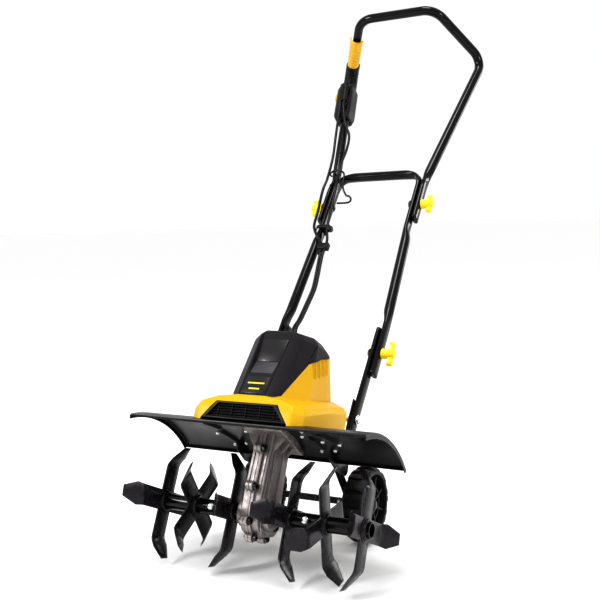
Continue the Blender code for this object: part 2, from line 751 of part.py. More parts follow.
def grille_block(name, grow, y_from, y_to):
    """A block with the grille's trapezoid outline, between two local Y values."""
    low, high, bottom, top = GRILLE
    points = [(-low - grow, bottom - grow), (low + grow, bottom - grow), (high + grow, top + grow),
              (-high - grow, top + grow)]
    obj = outline(name, points, y_to - y_from, "XY")
    turn = Matrix(((1, 0, 0, 0), (0, 0, 1, (y_from + y_to) / 2), (0, 1, 0, 0), (0, 0, 0, 1)))
    obj.data.transform(turn)
    fix_normals(obj.data)
    return obj


def covers():
    for name, mat in (("motor_housing", YELLOW), ("top_cover", CHARCOAL)):
        obj = loft(name, body_rings())
        cut(obj, loft(name + "_room", body_rings(0.0028)))
        if name == "motor_housing":
            cut(obj, hood_region("hood_room", -GAP))
            cut(obj, below_guard_cutter("guard_room_housing"))
            cut(obj, grille_block("grille_room", GAP, -0.130, -0.085))
            for index in range(4):
                vent_y = 0.004 + index * 0.0125
                for side in (-1, 1):
                    slot = box("vent_%d_%d" % (index, side), (0.04, 0.0045, 0.017),
                               (side * 0.062, vent_y, 0.240 + 0.0035 * index))
                    cut(obj, slot)
        else:
            cut(obj, hood_region("hood_zone", 0.0), "INTERSECT")
        put(obj, mat)
    grille = grille_block("front_grille", 0.0, -0.1045, -0.0945)
    for index in range(4):
        slot_z = GRILLE[2] + 0.0052 + index * 0.0056
        half = GRILLE[0] - 0.0052 - (slot_z - GRILLE[2]) * 0.8
        cut(grille, box("grille_slot_%d" % index, (2 * half, 0.03, 0.0022), (0, -0.100, slot_z)))
    cut(grille, below_guard_cutter("guard_room_grille"))
    put(grille, BLACK)


tine_guard()
motor()
covers()


# Wheels ---------------------------------------------------------------------------------------
BRACKET_PIVOT = (0.1070, 0.1000)   # wheel bracket's swing axis, behind the guard
bracket_pivot = empty("bracket_pivot", (0, *BRACKET_PIVOT), machine)
wheel_pivots = {}
for half, sign in (("left", -1), ("right", 1)):
    wheel_pivots[half] = empty("wheel_pivot_" + half, (0, WHEEL_Y - BRACKET_PIVOT[0],
                                                       WHEEL_Z - BRACKET_PIVOT[1]), bracket_pivot)


def wheel(side):
    """Moulded wheel: crowned tread on a dished disc, with a hub; turned about X."""
    sign = 1 if side == "right" else -1
    half = WHEEL_W / 2
    profile = [(AXLE_R + 0.0006, half - 0.004), (0.0120, half - 0.004), (0.0120, 0.003), (0.0520, 0.003),
               (0.0520, half), (0.0580, half), (WHEEL_R, 0.009), (WHEEL_R, -0.009), (0.0580, -half),
               (0.0520, -half), (0.0520, -0.003), (0.0120, -0.003), (0.0120, 0.004 - half),
               (AXLE_R + 0.0006, 0.004 - half), (AXLE_R + 0.0006, half - 0.004)]
    obj = turned("wheel_" + side, profile, 28)
    centre = sign * (WHEEL_X + half)
    holder = obj.data
    holder.transform(turn_to("X"))
    obj.modifiers["turn"].axis = "X"
    holder.transform(Matrix.Translation((centre, 0, 0)))
    put(obj, BLACK, wheel_pivots[side], (0, WHEEL_Y, WHEEL_Z))


def wheel_bracket():
    """Two flat arms joined by the tube that the axle runs in; they swing on the base brackets."""
    arm_line = unit2(BRACKET_PIVOT, (WHEEL_Y, WHEEL_Z))
    reach = math.dist(BRACKET_PIVOT, (WHEEL_Y, WHEEL_Z))
    heading = math.degrees(math.atan2(arm_line[1], arm_line[0]))
    sleeve = cylinder("wheel_bracket", AXLE_R + 0.0016, 2 * ARM_X, (0, 0, 0), "X", 16)
    for side in (-1, 1):
        points = arc((0, 0), 0.0100, heading - 90, heading + 90, 6)
        start = (-arm_line[0] * reach, -arm_line[1] * reach)
        points += arc(start, 0.0090, heading + 90, heading + 270, 6)
        arm = outline("bracket_arm_%d" % side, points, 0.003)
        arm.data.transform(Matrix.Translation((side * ARM_X, 0, 0)))
        fix_normals(arm.data)
        arm.location = (0, WHEEL_Y, WHEEL_Z)
        cut(sleeve, arm, "UNION")
        bm = bmesh.new()
        add_cylinder(bm, 0.0045, 0.02, (side * ARM_X, *BRACKET_PIVOT), "X", 14)
        cut(sleeve, from_bmesh("bracket_pin_hole_%d" % side, bm, False))
    bm = bmesh.new()
    add_cylinder(bm, AXLE_R + GAP, 0.30, (0, WHEEL_Y, WHEEL_Z), "X", 16)
    cut(sleeve, from_bmesh("bracket_bore", bm, False))
    put(sleeve, STEEL_BLACK, bracket_pivot, (0, WHEEL_Y, WHEEL_Z))


def wheel_axle():
    """Rod through the bracket arms and both wheels, with a cap on each end."""
    length = 2 * (WHEEL_X + WHEEL_W + 0.0005)
    obj = cylinder("wheel_axle", AXLE_R, length, axis="X", segments=16)
    for side in (-1, 1):
        bm = bmesh.new()
        add_cylinder(bm, 0.0085, 0.004, (side * (length / 2 - 0.0015), WHEEL_Y, WHEEL_Z), "X", 20)
        cut(obj, from_bmesh("axle_cap_%d" % side, bm, False), "UNION")
    put(obj, STEEL_BLACK, bracket_pivot, (0, WHEEL_Y, WHEEL_Z))


# Handle ---------------------------------------------------------------------------------------
leg_line = unit2(LOWER_PIVOT, CROSSBAR)
low_line = unit2(FOOT_BOLT, LOWER_PIVOT)
frame_pivot = empty("frame_pivot", (0, *LOWER_PIVOT), machine)
handle_pivot = empty("handle_pivot", (0, UPPER_PIVOT[0] - LOWER_PIVOT[0], UPPER_PIVOT[1] - LOWER_PIVOT[1]),
                     frame_pivot)


def bolt_hole(obj, name, x, place):
    bm = bmesh.new()
    add_cylinder(bm, BOLT_R + 0.0004, 0.06, (x, *place), "X", 10)
    cut(obj, from_bmesh(name, bm, False))


def lower_tube(side):
    sign = 1 if side == "right" else -1
    x = sign * (JOINT_X_LOW - JOINT_TILT)
    foot = along(FOOT_BOLT, low_line, -0.026)
    top = along(LOWER_PIVOT, low_line, 0.050)
    path = with_flat_rings([Vector((x, *foot)), Vector((x, *top))], (FOOT_BOLT[1], LOWER_PIVOT[1]))
    obj = pipe("lower_tube_" + side, path, TUBE_R, TUBE_WALL)
    flatten(obj.data, LOWER_PIVOT, low_line, FLAT_REACH, x)
    flatten(obj.data, FOOT_BOLT, low_line, 0.0355, x)
    bolt_hole(obj, "low_hole_" + side, x, LOWER_PIVOT)
    bolt_hole(obj, "foot_hole_" + side, x, FOOT_BOLT)
    put(obj, STEEL_BLACK)


def with_flat_rings(path, heights):
    """The path with extra points on its straight runs near these heights, for the flattened ends."""
    dense = [path[0]]
    for a, b in zip(path, path[1:]):
        marks = []
        if abs(b.z - a.z) > 0.02:
            for height in heights:
                for off in (-0.072, -0.056, -0.034, 0.034, 0.056, 0.072):
                    t = (height + off - a.z) / (b.z - a.z)
                    if 0.01 < t < 0.99:
                        marks.append(t)
        dense += [a.lerp(b, t) for t in sorted(marks)]
        dense.append(b)
    return dense


def middle_frame():
    """U-shaped frame: two legs outside the lower tubes and a crossbar at the top."""
    low = along(LOWER_PIVOT, leg_line, -0.045)
    half_low = JOINT_X_LOW + JOINT_TILT
    half_up = JOINT_X_UP - JOINT_TILT
    slope = (half_up - half_low) / (UPPER_PIVOT[1] - LOWER_PIVOT[1])
    foot_x = half_low + slope * (low[1] - LOWER_PIVOT[1])
    corner_x = half_low + slope * (CROSSBAR[1] - LOWER_PIVOT[1])
    legs = [[(sign * foot_x, *low), (sign * corner_x, *CROSSBAR)] for sign in (1, -1)]
    path = bent_path([legs[0][0], legs[0][1], legs[1][1], legs[1][0]], [0.040, 0.040], 5)
    near = (LOWER_PIVOT[1], UPPER_PIVOT[1])
    obj = pipe("middle_frame", with_flat_rings(path, near), TUBE_R, TUBE_WALL)
    for sign in (1, -1):
        flatten(obj.data, LOWER_PIVOT, leg_line, FLAT_REACH, sign * half_low, slope)
        flatten(obj.data, UPPER_PIVOT, leg_line, FLAT_REACH, sign * half_up, slope)
        bolt_hole(obj, "leg_hole_%d" % sign, sign * half_low, LOWER_PIVOT)
        bolt_hole(obj, "top_hole_%d" % sign, sign * half_up, UPPER_PIVOT)
    put(obj, STEEL_BLACK, frame_pivot, (0, *LOWER_PIVOT))
    obj.data.transform(Matrix.Translation((0, -LOWER_PIVOT[0], -LOWER_PIVOT[1])))


def upper_handle():
    """Loop handle: splayed sides, bent forward at the grips, top bar across."""
    low = along(UPPER_PIVOT, leg_line, -0.040)
    half = JOINT_X_UP + JOINT_TILT
    near_d = along(UPPER_PIVOT, leg_line, 0.052)
    right = [(half, *low), (half, *near_d), GRIP_D_OUT, GRIP_E, GRIP_F]
    left = [(-x, y, z) for x, y, z in reversed(right)]
    radii = [0.12, 0.12, GRIP_BEND, 0.045, 0.045, GRIP_BEND, 0.12, 0.12]
    path = bent_path(right + left, radii, (1, 2, 5, 4, 4, 5, 2, 1))
    obj = pipe("upper_handle", with_flat_rings(path, (UPPER_PIVOT[1],)), TUBE_R, TUBE_WALL)
    for sign in (1, -1):
        flatten(obj.data, UPPER_PIVOT, leg_line, FLAT_REACH, sign * half)
        bolt_hole(obj, "handle_hole_%d" % sign, sign * half, UPPER_PIVOT)
    put(obj, STEEL_BLACK, handle_pivot, (0, *UPPER_PIVOT))
    obj.data.transform(Matrix.Translation((0, -UPPER_PIVOT[0], -UPPER_PIVOT[1])))
    return path


# Knobs and bolts ------------------------------------------------------------------------------
def knob_and_bolt(level, side):
    """Wing knob outside the tubes on a bolt whose round head is inside."""
    sign = 1 if side == "right" else -1
    place = LOWER_PIVOT if level == "lower" else UPPER_PIVOT
    mid = JOINT_X_LOW if level == "lower" else JOINT_X_UP
    parent = machine if level == "lower" else frame_pivot
    reach = JOINT_TILT + FLAT_THICK / 2 + 0.0004
    inner = sign * (mid - reach)
    outer = sign * (mid + reach)
    bolt = cylinder("%s_bolt_%s" % (level, side), BOLT_R - 0.0004, 0.044, axis="X", segments=10)
    bolt.data.transform(Matrix.Translation((inner + sign * 0.0200, 0, 0)))
    bm = bmesh.new()
    add_cylinder(bm, 0.0085, 0.0032, (inner - sign * 0.0018, *place), "X", 14)
    cut(bolt, from_bmesh("%s_bolt_head_%s" % (level, side), bm, False), "UNION")
    put(bolt, ZINC, parent, (0, *place))
    pivot = empty("%s_knob_pivot_%s" % (level, side), Vector((outer, *place)) - pivot_of(parent), parent)
    knob = turned("%s_knob_%s" % (level, side), [(0.0040, 0.0240), (0.0075, 0.0240), (0.0080, 0.0120),
                                                 (0.0100, 0.0003), (0.0040, 0.0003), (0.0040, 0.0240)], 14)
    knob.data.transform(turn_to("X"))
    knob.modifiers["turn"].axis = "X"
    if sign < 0:
        knob.scale = (1, 1, 1)
        knob.data.transform(Matrix.Rotation(math.pi, 4, "Z"))
    turn = Matrix.Rotation(KNOB_TURN, 4, "X")
    for wing in (-1, 1):
        blade = box("%s_wing_%s_%d" % (level, side, wing), (0.0110, 0.0095, 0.0150),
                    (sign * 0.0165, 0, wing * (WING_SPAN[level] - 0.0075)))
        blade.data.transform(turn)
        blade.location = (outer, *place)
        cut(knob, blade, "UNION")
    bm = bmesh.new()
    add_cylinder(bm, 0.0042, 0.0600, (outer, *place), "X", 10)
    cut(knob, from_bmesh("%s_knob_bore_%s" % (level, side), bm, False))
    put(knob, LEMON, pivot, (outer, *place))


def base_joint(side):
    """Plate from the guard's underside to the lower tube's foot, and the bolt through both.

    A stub on the plate's inner face carries one end of the wheel bracket.
    """
    sign = 1 if side == "right" else -1
    x_plate = sign * (JOINT_X_LOW - JOINT_TILT - FLAT_THICK / 2 - 0.0004 - 0.00125)
    normal = (-low_line[1], low_line[0])
    top = along(FOOT_BOLT, low_line, 0.034)
    wide = 0.0125
    y, z = BRACKET_PIVOT
    under = guard_arc(GUARD_R - GUARD_THICK - GAP, 0.040, 0.0675, 3)
    points = [(top[0] - normal[0] * wide, top[1] - normal[1] * wide),
              (top[0] + normal[0] * wide, top[1] + normal[1] * wide),
              (0.0862, 0.1700), (0.0850, 0.1230), (0.0705, 0.1080), (0.0692, 0.1040)]
    points += under[::-1] + [(0.040, 0.1040), (0.0700, 0.0920)]
    points += arc(BRACKET_PIVOT, 0.0100, 250, 380, 6) + [(FOOT_BOLT[0] + 0.0140, 0.1600)]
    plate = outline("base_bracket_" + side, points, 0.0025)
    plate.data.transform(Matrix.Translation((x_plate, 0, 0)))
    fix_normals(plate.data)
    bm = bmesh.new()
    add_cylinder(bm, 0.0042, 0.0140, (x_plate - sign * 0.0060, y, z), "X", 14)
    cut(plate, from_bmesh("bracket_stub_" + side, bm, False), "UNION")
    bolt_hole(plate, "bracket_hole_" + side, x_plate, FOOT_BOLT)
    put(plate, STEEL_BLACK)
    inner = x_plate - sign * (0.00125 + GAP)
    outer = sign * (JOINT_X_LOW - JOINT_TILT + FLAT_THICK / 2 + 0.0004)
    bolt = cylinder("base_bolt_" + side, BOLT_R - 0.0004, abs(outer - inner) + 0.008, axis="X", segments=10)
    bolt.data.transform(Matrix.Translation(((outer + inner) / 2, 0, 0)))
    bm = bmesh.new()
    add_cylinder(bm, 0.0075, 0.0045, (outer + sign * 0.0024, *FOOT_BOLT), "X", 20)
    cut(bolt, from_bmesh("base_bolt_head_" + side, bm, False), "UNION")
    bm = bmesh.new()
    add_cylinder(bm, 0.0060, 0.0040, (inner - sign * 0.0022, *FOOT_BOLT), "X", 6)
    cut(bolt, from_bmesh("base_nut_" + side, bm, False), "UNION")
    put(bolt, ZINC, machine, (0, *FOOT_BOLT))


for half in ("left", "right"):
    wheel(half)
    lower_tube(half)
    base_joint(half)
    for height in ("lower", "upper"):
        knob_and_bolt(height, half)
wheel_bracket()
wheel_axle()
middle_frame()
upper_handle()


# Switch on the left grip ----------------------------------------------------------------------
def axes_at(origin, z_axis, y_hint):
    """Matrix of a local frame in the machine's frame: Z along z_axis, Y leaning to y_hint."""
    z_dir = Vector(z_axis).normalized()
    x_dir = Vector(y_hint).cross(z_dir).normalized()
    y_dir = z_dir.cross(x_dir)
    turn = Matrix((x_dir, y_dir, z_dir)).transposed().to_4x4()
    return Matrix.Translation(origin) @ turn


def mirrored(point):
    return Vector((-point[0], point[1], point[2]))


left_d = mirrored(GRIP_D_OUT)
left_e = mirrored(GRIP_E)
left_f = mirrored(GRIP_F)
side_dir = (left_e - left_d).normalized()
top_dir = (left_f - left_e).normalized()
SWITCH = axes_at(left_d.lerp(left_e, 0.72), side_dir, (0, 1, 0))
BEND_HALF = (-side_dir).angle(top_dir) / 2
BEND_REACH = GRIP_BEND / math.tan(BEND_HALF)
LEVER_START = BEND_REACH + 0.006
LEVER_LONG = 0.075


def grip_path(from_side, to_top, steps=5):
    """The left grip's centre line: from this far down the side to this far along the top run."""
    start = left_e - side_dir * from_side
    end = left_e + top_dir * to_top
    return bent_path([start, left_e, end], [GRIP_BEND], steps)


def moved(obj, matrix):
    obj.data.transform(matrix)
    fix_normals(obj.data)
    return obj


def switch_box():
    """Housing clamped on the tube, its collar carried round the bend to the lever."""
    shape = [(-0.025, -0.013), (-0.018, -0.020), (0.012, -0.020), (0.018, -0.014), (0.018, 0.014),
             (0.012, 0.020), (-0.018, 0.020), (-0.025, 0.013)]
    small = [(x * 0.86 - 0.0004, y * 0.84) for x, y in shape]
    rings = [[SWITCH @ Vector((x, y, z)) for x, y in points]
             for points, z in ((small, -0.056), (shape, -0.050), (shape, 0.050), (small, 0.056))]
    obj = loft("switch_box", rings)
    collar_path = grip_path(0.075, LEVER_START - 0.001)
    collar = to_mesh(rod_curve("collar", collar_path, 0.0155, 3), "switch_collar")
    cut(obj, bpy.data.objects.new("switch_collar", collar), "UNION")
    bore = to_mesh(rod_curve("bore", grip_path(0.240, 0.060), 0.0104, 3), "switch_bore")
    cut(obj, bpy.data.objects.new("switch_bore", bore))
    pocket = moved(box("button_pocket", (0.0120, 0.0166, 0.0206), (-0.0230, 0, 0.030)), SWITCH)
    cut(obj, pocket)
    put(obj, BLACK, handle_pivot)


def lock_off_button():
    """Push button in the outer face, sliding towards the tube."""
    pivot = empty("button_slide", (0, 0, 0), handle_pivot)
    frame = SWITCH @ Matrix.Translation((-0.0270, 0, 0.030))
    pivot.matrix_local = Matrix.Translation(-pivot_of(handle_pivot)) @ frame
    obj = bevel(box("lock_off_button", (0.0090, 0.0150, 0.0190), (0.0010, 0, 0)), 0.0015)
    attach(obj, LEMON, pivot)


def switch_lever():
    """Half sleeve under the top run, hinged at its outer end."""
    origin = left_e + top_dir * LEVER_START
    under = Vector((0, -top_dir.z, top_dir.y))
    frame = axes_at(origin, top_dir, under)
    pivot = empty("lever_pivot", (0, 0, 0), handle_pivot)
    pivot.matrix_local = Matrix.Translation(-pivot_of(handle_pivot)) @ frame
    rings = []
    for z, wide, gap in ((0.0, 0.0135, 0.0022), (0.030, 0.0138, 0.0026), (0.060, 0.0148, 0.0031),
                         (LEVER_LONG, 0.0155, 0.0034)):
        outer = [(wide * math.cos(a), wide * math.sin(a) + gap) for a in half_turn(8)]
        inner = [((wide - 0.0028) * math.cos(a), (wide - 0.0028) * math.sin(a) + gap) for a in half_turn(8)]
        rings.append([Vector((x, y, z)) for x, y in outer + inner[::-1]])
    attach(loft("switch_lever", rings), LEMON, pivot)


def half_turn(count):
    return [math.pi * i / count for i in range(count + 1)]


def cable_boot():
    """Moulded relief on the front of the box; both leads leave its lower end."""
    rings = []
    for z, wide, deep in ((-0.014, 0.0075, 0.0045), (0.010, 0.0095, 0.0058), (0.041, 0.0100, 0.0065)):
        rings.append([SWITCH @ Vector((wide * math.cos(a) + 0.002, deep * math.sin(a) - 0.0270, z))
                      for a in [math.pi * i / 5 for i in range(10)]])
    obj = loft("cable_boot", rings)
    put(obj, RUBBER, handle_pivot)


LEAD_R = 0.0028
BOOT_END = -0.0143
LEAD_A = ((-0.1200, 0.2706, 0.8817), (-0.1050, 0.2714, 0.8508), (-0.0990, 0.2610, 0.8089),
          (-0.0877, 0.2240, 0.7447), (-0.0847, 0.2170, 0.6898), (-0.0791, 0.2020, 0.6304),
          (-0.0735, 0.1905, 0.5853), (-0.0652, 0.1835, 0.5569), (-0.0634, 0.1720, 0.5198),
          (-0.0556, 0.1560, 0.4699), (-0.0519, 0.1460, 0.4390), (-0.0517, 0.1310, 0.4032),
          (-0.0500, 0.1120, 0.3665), (-0.0440, 0.0880, 0.3353), (-0.0320, 0.0850, 0.2900),
          (-0.0270, 0.0780, 0.2660), (-0.0260, 0.0690, 0.2610))
LEAD_B = ((-0.1345, 0.2654, 0.8547), (-0.1260, 0.2553, 0.7887), (-0.1180, 0.2339, 0.7254),
          (-0.0931, 0.1790, 0.6682), (-0.0979, 0.1836, 0.6210), (-0.1030, 0.1885, 0.5928),
          (-0.0870, 0.1800, 0.5654), (-0.0745, 0.1830, 0.5472), (-0.0704, 0.1740, 0.5198),
          (-0.0626, 0.1585, 0.4699), (-0.0589, 0.1485, 0.4390), (-0.0587, 0.1335, 0.4032),
          (-0.0570, 0.1145, 0.3665), (-0.0515, 0.0900, 0.3353), (-0.0400, 0.0850, 0.2900),
          (-0.0350, 0.0780, 0.2660), (-0.0340, 0.0690, 0.2610))
SPLIT = {"a": 7, "b": 7}           # the route point, inside the clip, where each lead's halves meet


def lead_route(name):
    side = 0.0045 if name == "a" else -0.0035
    start = SWITCH @ Vector((side, -0.0270, BOOT_END))
    below = SWITCH @ Vector((side, -0.0270, BOOT_END - 0.020))
    points = LEAD_A if name == "a" else LEAD_B
    return [start, below] + [Vector(p) for p in points]


def lead(name):
    """One supply lead, in two lengths that meet inside the clip."""
    route = lead_route(name)
    middle = SPLIT[name] + 2
    upper = smooth_path(route, 0.022)
    place = min(range(len(upper)), key=lambda i: (upper[i] - route[middle]).length)
    gap = (upper[place + 1] - upper[place]).normalized() * 0.0015
    halves = (("upper", upper[:place + 1]), ("lower", [upper[place] + gap] + upper[place + 1:]))
    for part_name, path in halves:
        mesh = to_mesh(rod_curve("lead", path, LEAD_R, 1), "lead_%s_%s" % (name, part_name))
        mesh.shade_smooth()
        put(bpy.data.objects.new(mesh.name, mesh), RUBBER, frame_pivot)


def lead_clearance(name):
    """A thicker copy of a lead's middle length, to cut the clip and the strap with."""
    route = lead_route(name)
    path = smooth_path(route[6:12], 0.022)
    mesh = to_mesh(rod_curve("room", path, LEAD_R + 0.0006, 1), "lead_room_" + name)
    return bpy.data.objects.new("lead_room_" + name, mesh)


def lead_clip():
    """Block that holds the two leads side by side."""
    centre = (Vector(LEAD_A[7]) + Vector(LEAD_B[7])) / 2
    frame = axes_at(centre, (0.010, 0.30, 1.0), (0, 1, 0))
    obj = moved(box("lead_clip", (0.0230, 0.0105, 0.0150)), frame)
    for name in ("a", "b"):
        cut(obj, lead_clearance(name))
    put(obj, BLACK, frame_pivot)


def lead_strap():
    """Band round the left leg with an eye for the first lead and a pinch screw."""
    z = 0.5900
    slope = (JOINT_X_LOW + 2 * JOINT_TILT - JOINT_X_UP) / (UPPER_PIVOT[1] - LOWER_PIVOT[1])
    leg = Vector((-(JOINT_X_LOW + JOINT_TILT) + (z - LOWER_PIVOT[1]) * slope, 0.2055, z))
    frame = axes_at(leg, (slope * leg_line[1], *leg_line), (0, 1, 0))
    band = [(0.0130 * math.cos(a), 0.0158 * math.sin(a)) for a in [math.pi * i / 8 for i in range(16)]]
    obj = loft("lead_strap", [[frame @ Vector((x, y, h)) for x, y in band] for h in (-0.004, 0.004)])
    arm = moved(box("strap_arm", (0.0250, 0.0080, 0.0078), (0.0120, -0.0125, 0)), frame)
    cut(obj, arm, "UNION")
    room = [(x * 0.80, y * 0.805) for x, y in band]
    cut(obj, loft("leg_room", [[frame @ Vector((x, y, h)) for x, y in room] for h in (-0.03, 0.03)]))
    cut(obj, lead_clearance("a"))
    put(obj, BLACK, frame_pivot)


def cord_hook():
    """Bent wire on the frame's left corner that takes the weight of the extension cord."""
    path = smooth_path(((-0.1074, 0.2330, 0.7290), (-0.1131, 0.2330, 0.7350), (-0.1031, 0.2330, 0.7430),
                        (-0.0856, 0.2310, 0.7385), (-0.0765, 0.2275, 0.7280), (-0.0721, 0.2230, 0.6978),
                        (-0.0602, 0.2200, 0.6764), (-0.0522, 0.2200, 0.6732), (-0.0473, 0.2200, 0.6661),
                        (-0.0524, 0.2200, 0.6590), (-0.0778, 0.2200, 0.6583)), 0.012)
    mesh = to_mesh(rod_curve("hook", path, 0.002, 1), "cord_hook")
    mesh.shade_smooth()
    put(bpy.data.objects.new("cord_hook", mesh), BLACK, frame_pivot)


switch_box()
lock_off_button()
switch_lever()
cable_boot()
for which in ("a", "b"):
    lead(which)
lead_clip()
lead_strap()
cord_hook()
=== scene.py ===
"""Looks of the electric garden tiller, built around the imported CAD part.

Pieces are modelled in the machine's own frame, as the CAD is: origin on the tine axis, local Z along
the gearbox column, local Y towards the operator. MACHINE takes that frame to the world.
"""

import json
import math

import bmesh
import bpy
from mathutils import Matrix, Vector


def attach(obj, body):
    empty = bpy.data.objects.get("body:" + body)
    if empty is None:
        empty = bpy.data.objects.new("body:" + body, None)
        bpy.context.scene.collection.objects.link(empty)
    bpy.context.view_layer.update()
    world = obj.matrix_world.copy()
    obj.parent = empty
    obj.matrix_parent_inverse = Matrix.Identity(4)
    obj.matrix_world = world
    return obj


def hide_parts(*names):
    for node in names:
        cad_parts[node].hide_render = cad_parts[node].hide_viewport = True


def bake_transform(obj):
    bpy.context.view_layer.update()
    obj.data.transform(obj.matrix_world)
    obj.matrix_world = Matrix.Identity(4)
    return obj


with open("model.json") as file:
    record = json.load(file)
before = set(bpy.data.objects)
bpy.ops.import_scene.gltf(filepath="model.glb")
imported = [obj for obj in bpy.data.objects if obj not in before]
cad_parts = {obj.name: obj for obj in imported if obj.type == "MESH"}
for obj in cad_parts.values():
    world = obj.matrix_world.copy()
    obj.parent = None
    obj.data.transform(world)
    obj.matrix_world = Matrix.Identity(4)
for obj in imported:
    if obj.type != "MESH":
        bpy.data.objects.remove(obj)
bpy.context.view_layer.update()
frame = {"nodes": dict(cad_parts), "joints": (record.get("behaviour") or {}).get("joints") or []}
JOINTS = {joint["name"]: joint for joint in frame["joints"]}
COLUMN = Vector(JOINTS["motor_spin"]["axis"])
LEAN = math.atan2(COLUMN.y, COLUMN.z)
MACHINE = Matrix.Translation(JOINTS["tine_spin"]["pos_m"]) @ Matrix.Rotation(-LEAN, 4, "X")
INTO_MACHINE = MACHINE.inverted()


def joint_place(name):
    """A joint's (y, z) in the machine's frame."""
    place = INTO_MACHINE @ Vector(JOINTS[name]["pos_m"])
    return (place.y, place.z)


# Camera -------------------------------------------------------------------------------------
LENS_MM, SENSOR_MM = 52.416, 36.0
CAMERA_PLACE = (0.6987, -1.48718, 0.5560)
CAMERA_RIGHT = Vector((0.884581, 0.465074, -0.034969))
CAMERA_UP = Vector((-0.011964, 0.097583, 0.995156))


def make_camera():
    data = bpy.data.cameras.new("camera")
    data.lens = LENS_MM
    data.sensor_width = SENSOR_MM
    camera = bpy.data.objects.new("camera", data)
    bpy.context.scene.collection.objects.link(camera)
    back = CAMERA_RIGHT.cross(CAMERA_UP).normalized()
    turn = Matrix((CAMERA_RIGHT, CAMERA_UP, back)).transposed().to_4x4()
    camera.matrix_world = Matrix.Translation(CAMERA_PLACE) @ turn
    bpy.context.scene.camera = camera


make_camera()


# Materials ----------------------------------------------------------------------------------
def surface(name, colour, rough, metallic=0.0, grain=900.0, bump=0.05, vary=0.08, patches=18.0,
            rough_vary=0.06, coat=0.0, wear=None, lines=None, specular=0.5):
    """A procedural finish: patchy tone, uneven gloss, fine grain, and worn or dusty edges."""
    mat = bpy.data.materials.new(name)
    mat.use_nodes = True
    tree = mat.node_tree
    nodes, links = tree.nodes, tree.links
    shader = nodes["Principled BSDF"]
    shader.inputs["Metallic"].default_value = metallic
    shader.inputs["Coat Weight"].default_value = coat
    shader.inputs["Coat Roughness"].default_value = 0.12
    shader.inputs["Specular IOR Level"].default_value = specular
    place = nodes.new("ShaderNodeTexCoord")

    def noise(scale, detail=3.0, roughness=0.55):
        node = nodes.new("ShaderNodeTexNoise")
        node.inputs["Scale"].default_value = scale
        node.inputs["Detail"].default_value = detail
        node.inputs["Roughness"].default_value = roughness
        links.new(place.outputs["Object"], node.inputs["Vector"])
        return node.outputs["Fac"]

    def ramp(value, low, high, to_low, to_high):
        node = nodes.new("ShaderNodeMapRange")
        node.inputs["From Min"].default_value = low
        node.inputs["From Max"].default_value = high
        node.inputs["To Min"].default_value = to_low
        node.inputs["To Max"].default_value = to_high
        links.new(value, node.inputs["Value"])
        return node.outputs["Result"]

    def mix(factor, first, second):
        node = nodes.new("ShaderNodeMix")
        node.data_type = "RGBA"
        for socket, value in ((6, first), (7, second)):
            if isinstance(value, (tuple, list)):
                node.inputs[socket].default_value = (*value[:3], 1.0)
            else:
                links.new(value, node.inputs[socket])
        links.new(factor, node.inputs[0])
        return node.outputs[2]

    dark = tuple(c * (1 - vary) for c in colour)
    light = tuple(min(1.0, c * (1 + vary) + 0.002 * vary) for c in colour)
    tone = mix(ramp(noise(patches), 0.3, 0.7, 0.0, 1.0), dark, light)
    speck = mix(ramp(noise(grain, 2.0), 0.35, 0.75, 0.0, 0.35), tone, light)
    if wear:
        point = nodes.new("ShaderNodeNewGeometry").outputs["Pointiness"]
        edge = ramp(point, 0.53, 0.60, 0.0, 1.0)
        broken = ramp(noise(140.0, 4.0, 0.7), 0.45, 0.62, 0.0, 0.75)
        both = nodes.new("ShaderNodeMath")
        both.operation = "MULTIPLY"
        links.new(edge, both.inputs[0])
        links.new(broken, both.inputs[1])
        speck = mix(both.outputs[0], speck, wear)
    links.new(speck, shader.inputs["Base Color"])
    gloss = ramp(noise(patches * 2.7, 4.0), 0.3, 0.7, max(0.02, rough - rough_vary), rough + rough_vary)
    links.new(gloss, shader.inputs["Roughness"])
    height = noise(grain, 3.0, 0.6)
    if lines:
        stripes = nodes.new("ShaderNodeTexWave")
        stripes.inputs["Scale"].default_value = lines
        stripes.inputs["Distortion"].default_value = 1.5
        stripes.bands_direction = "Z"
        links.new(place.outputs["Object"], stripes.inputs["Vector"])
        added = nodes.new("ShaderNodeMath")
        added.operation = "MULTIPLY_ADD"
        links.new(stripes.outputs["Fac"], added.inputs[0])
        added.inputs[1].default_value = 0.35
        links.new(height, added.inputs[2])
        height = added.outputs[0]
    relief = nodes.new("ShaderNodeBump")
    relief.inputs["Strength"].default_value = bump
    relief.inputs["Distance"].default_value = 0.0004
    links.new(height, relief.inputs["Height"])
    links.new(relief.outputs["Normal"], shader.inputs["Normal"])
    return mat


GLOSS_BLACK = surface("gloss_black_powder_coat", (0.0030, 0.0027, 0.0032), 0.13, grain=420, bump=0.02,
                      rough_vary=0.03, vary=0.15, wear=(0.02, 0.02, 0.02), specular=0.30)
SATIN_BLACK = surface("satin_black_paint", (0.0130, 0.0108, 0.0138), 0.27, grain=650, bump=0.08,
                      rough_vary=0.07, vary=0.25, patches=26, wear=(0.06, 0.055, 0.055), specular=0.32)
SHEET_BLACK = surface("black_sheet_paint", (0.0075, 0.0068, 0.0075), 0.33, grain=520, bump=0.08,
                      rough_vary=0.06, vary=0.2, patches=12, wear=(0.05, 0.05, 0.05), specular=0.32)
CAST = surface("cast_aluminium", (0.33, 0.30, 0.29), 0.46, metallic=0.75, grain=520, bump=0.32, vary=0.16,
               rough_vary=0.12, patches=40, wear=(0.72, 0.69, 0.67))
YELLOW = surface("golden_yellow_plastic", (0.62, 0.365, 0.004), 0.36, grain=900, bump=0.05, vary=0.035,
                 rough_vary=0.05, patches=9, specular=0.28)
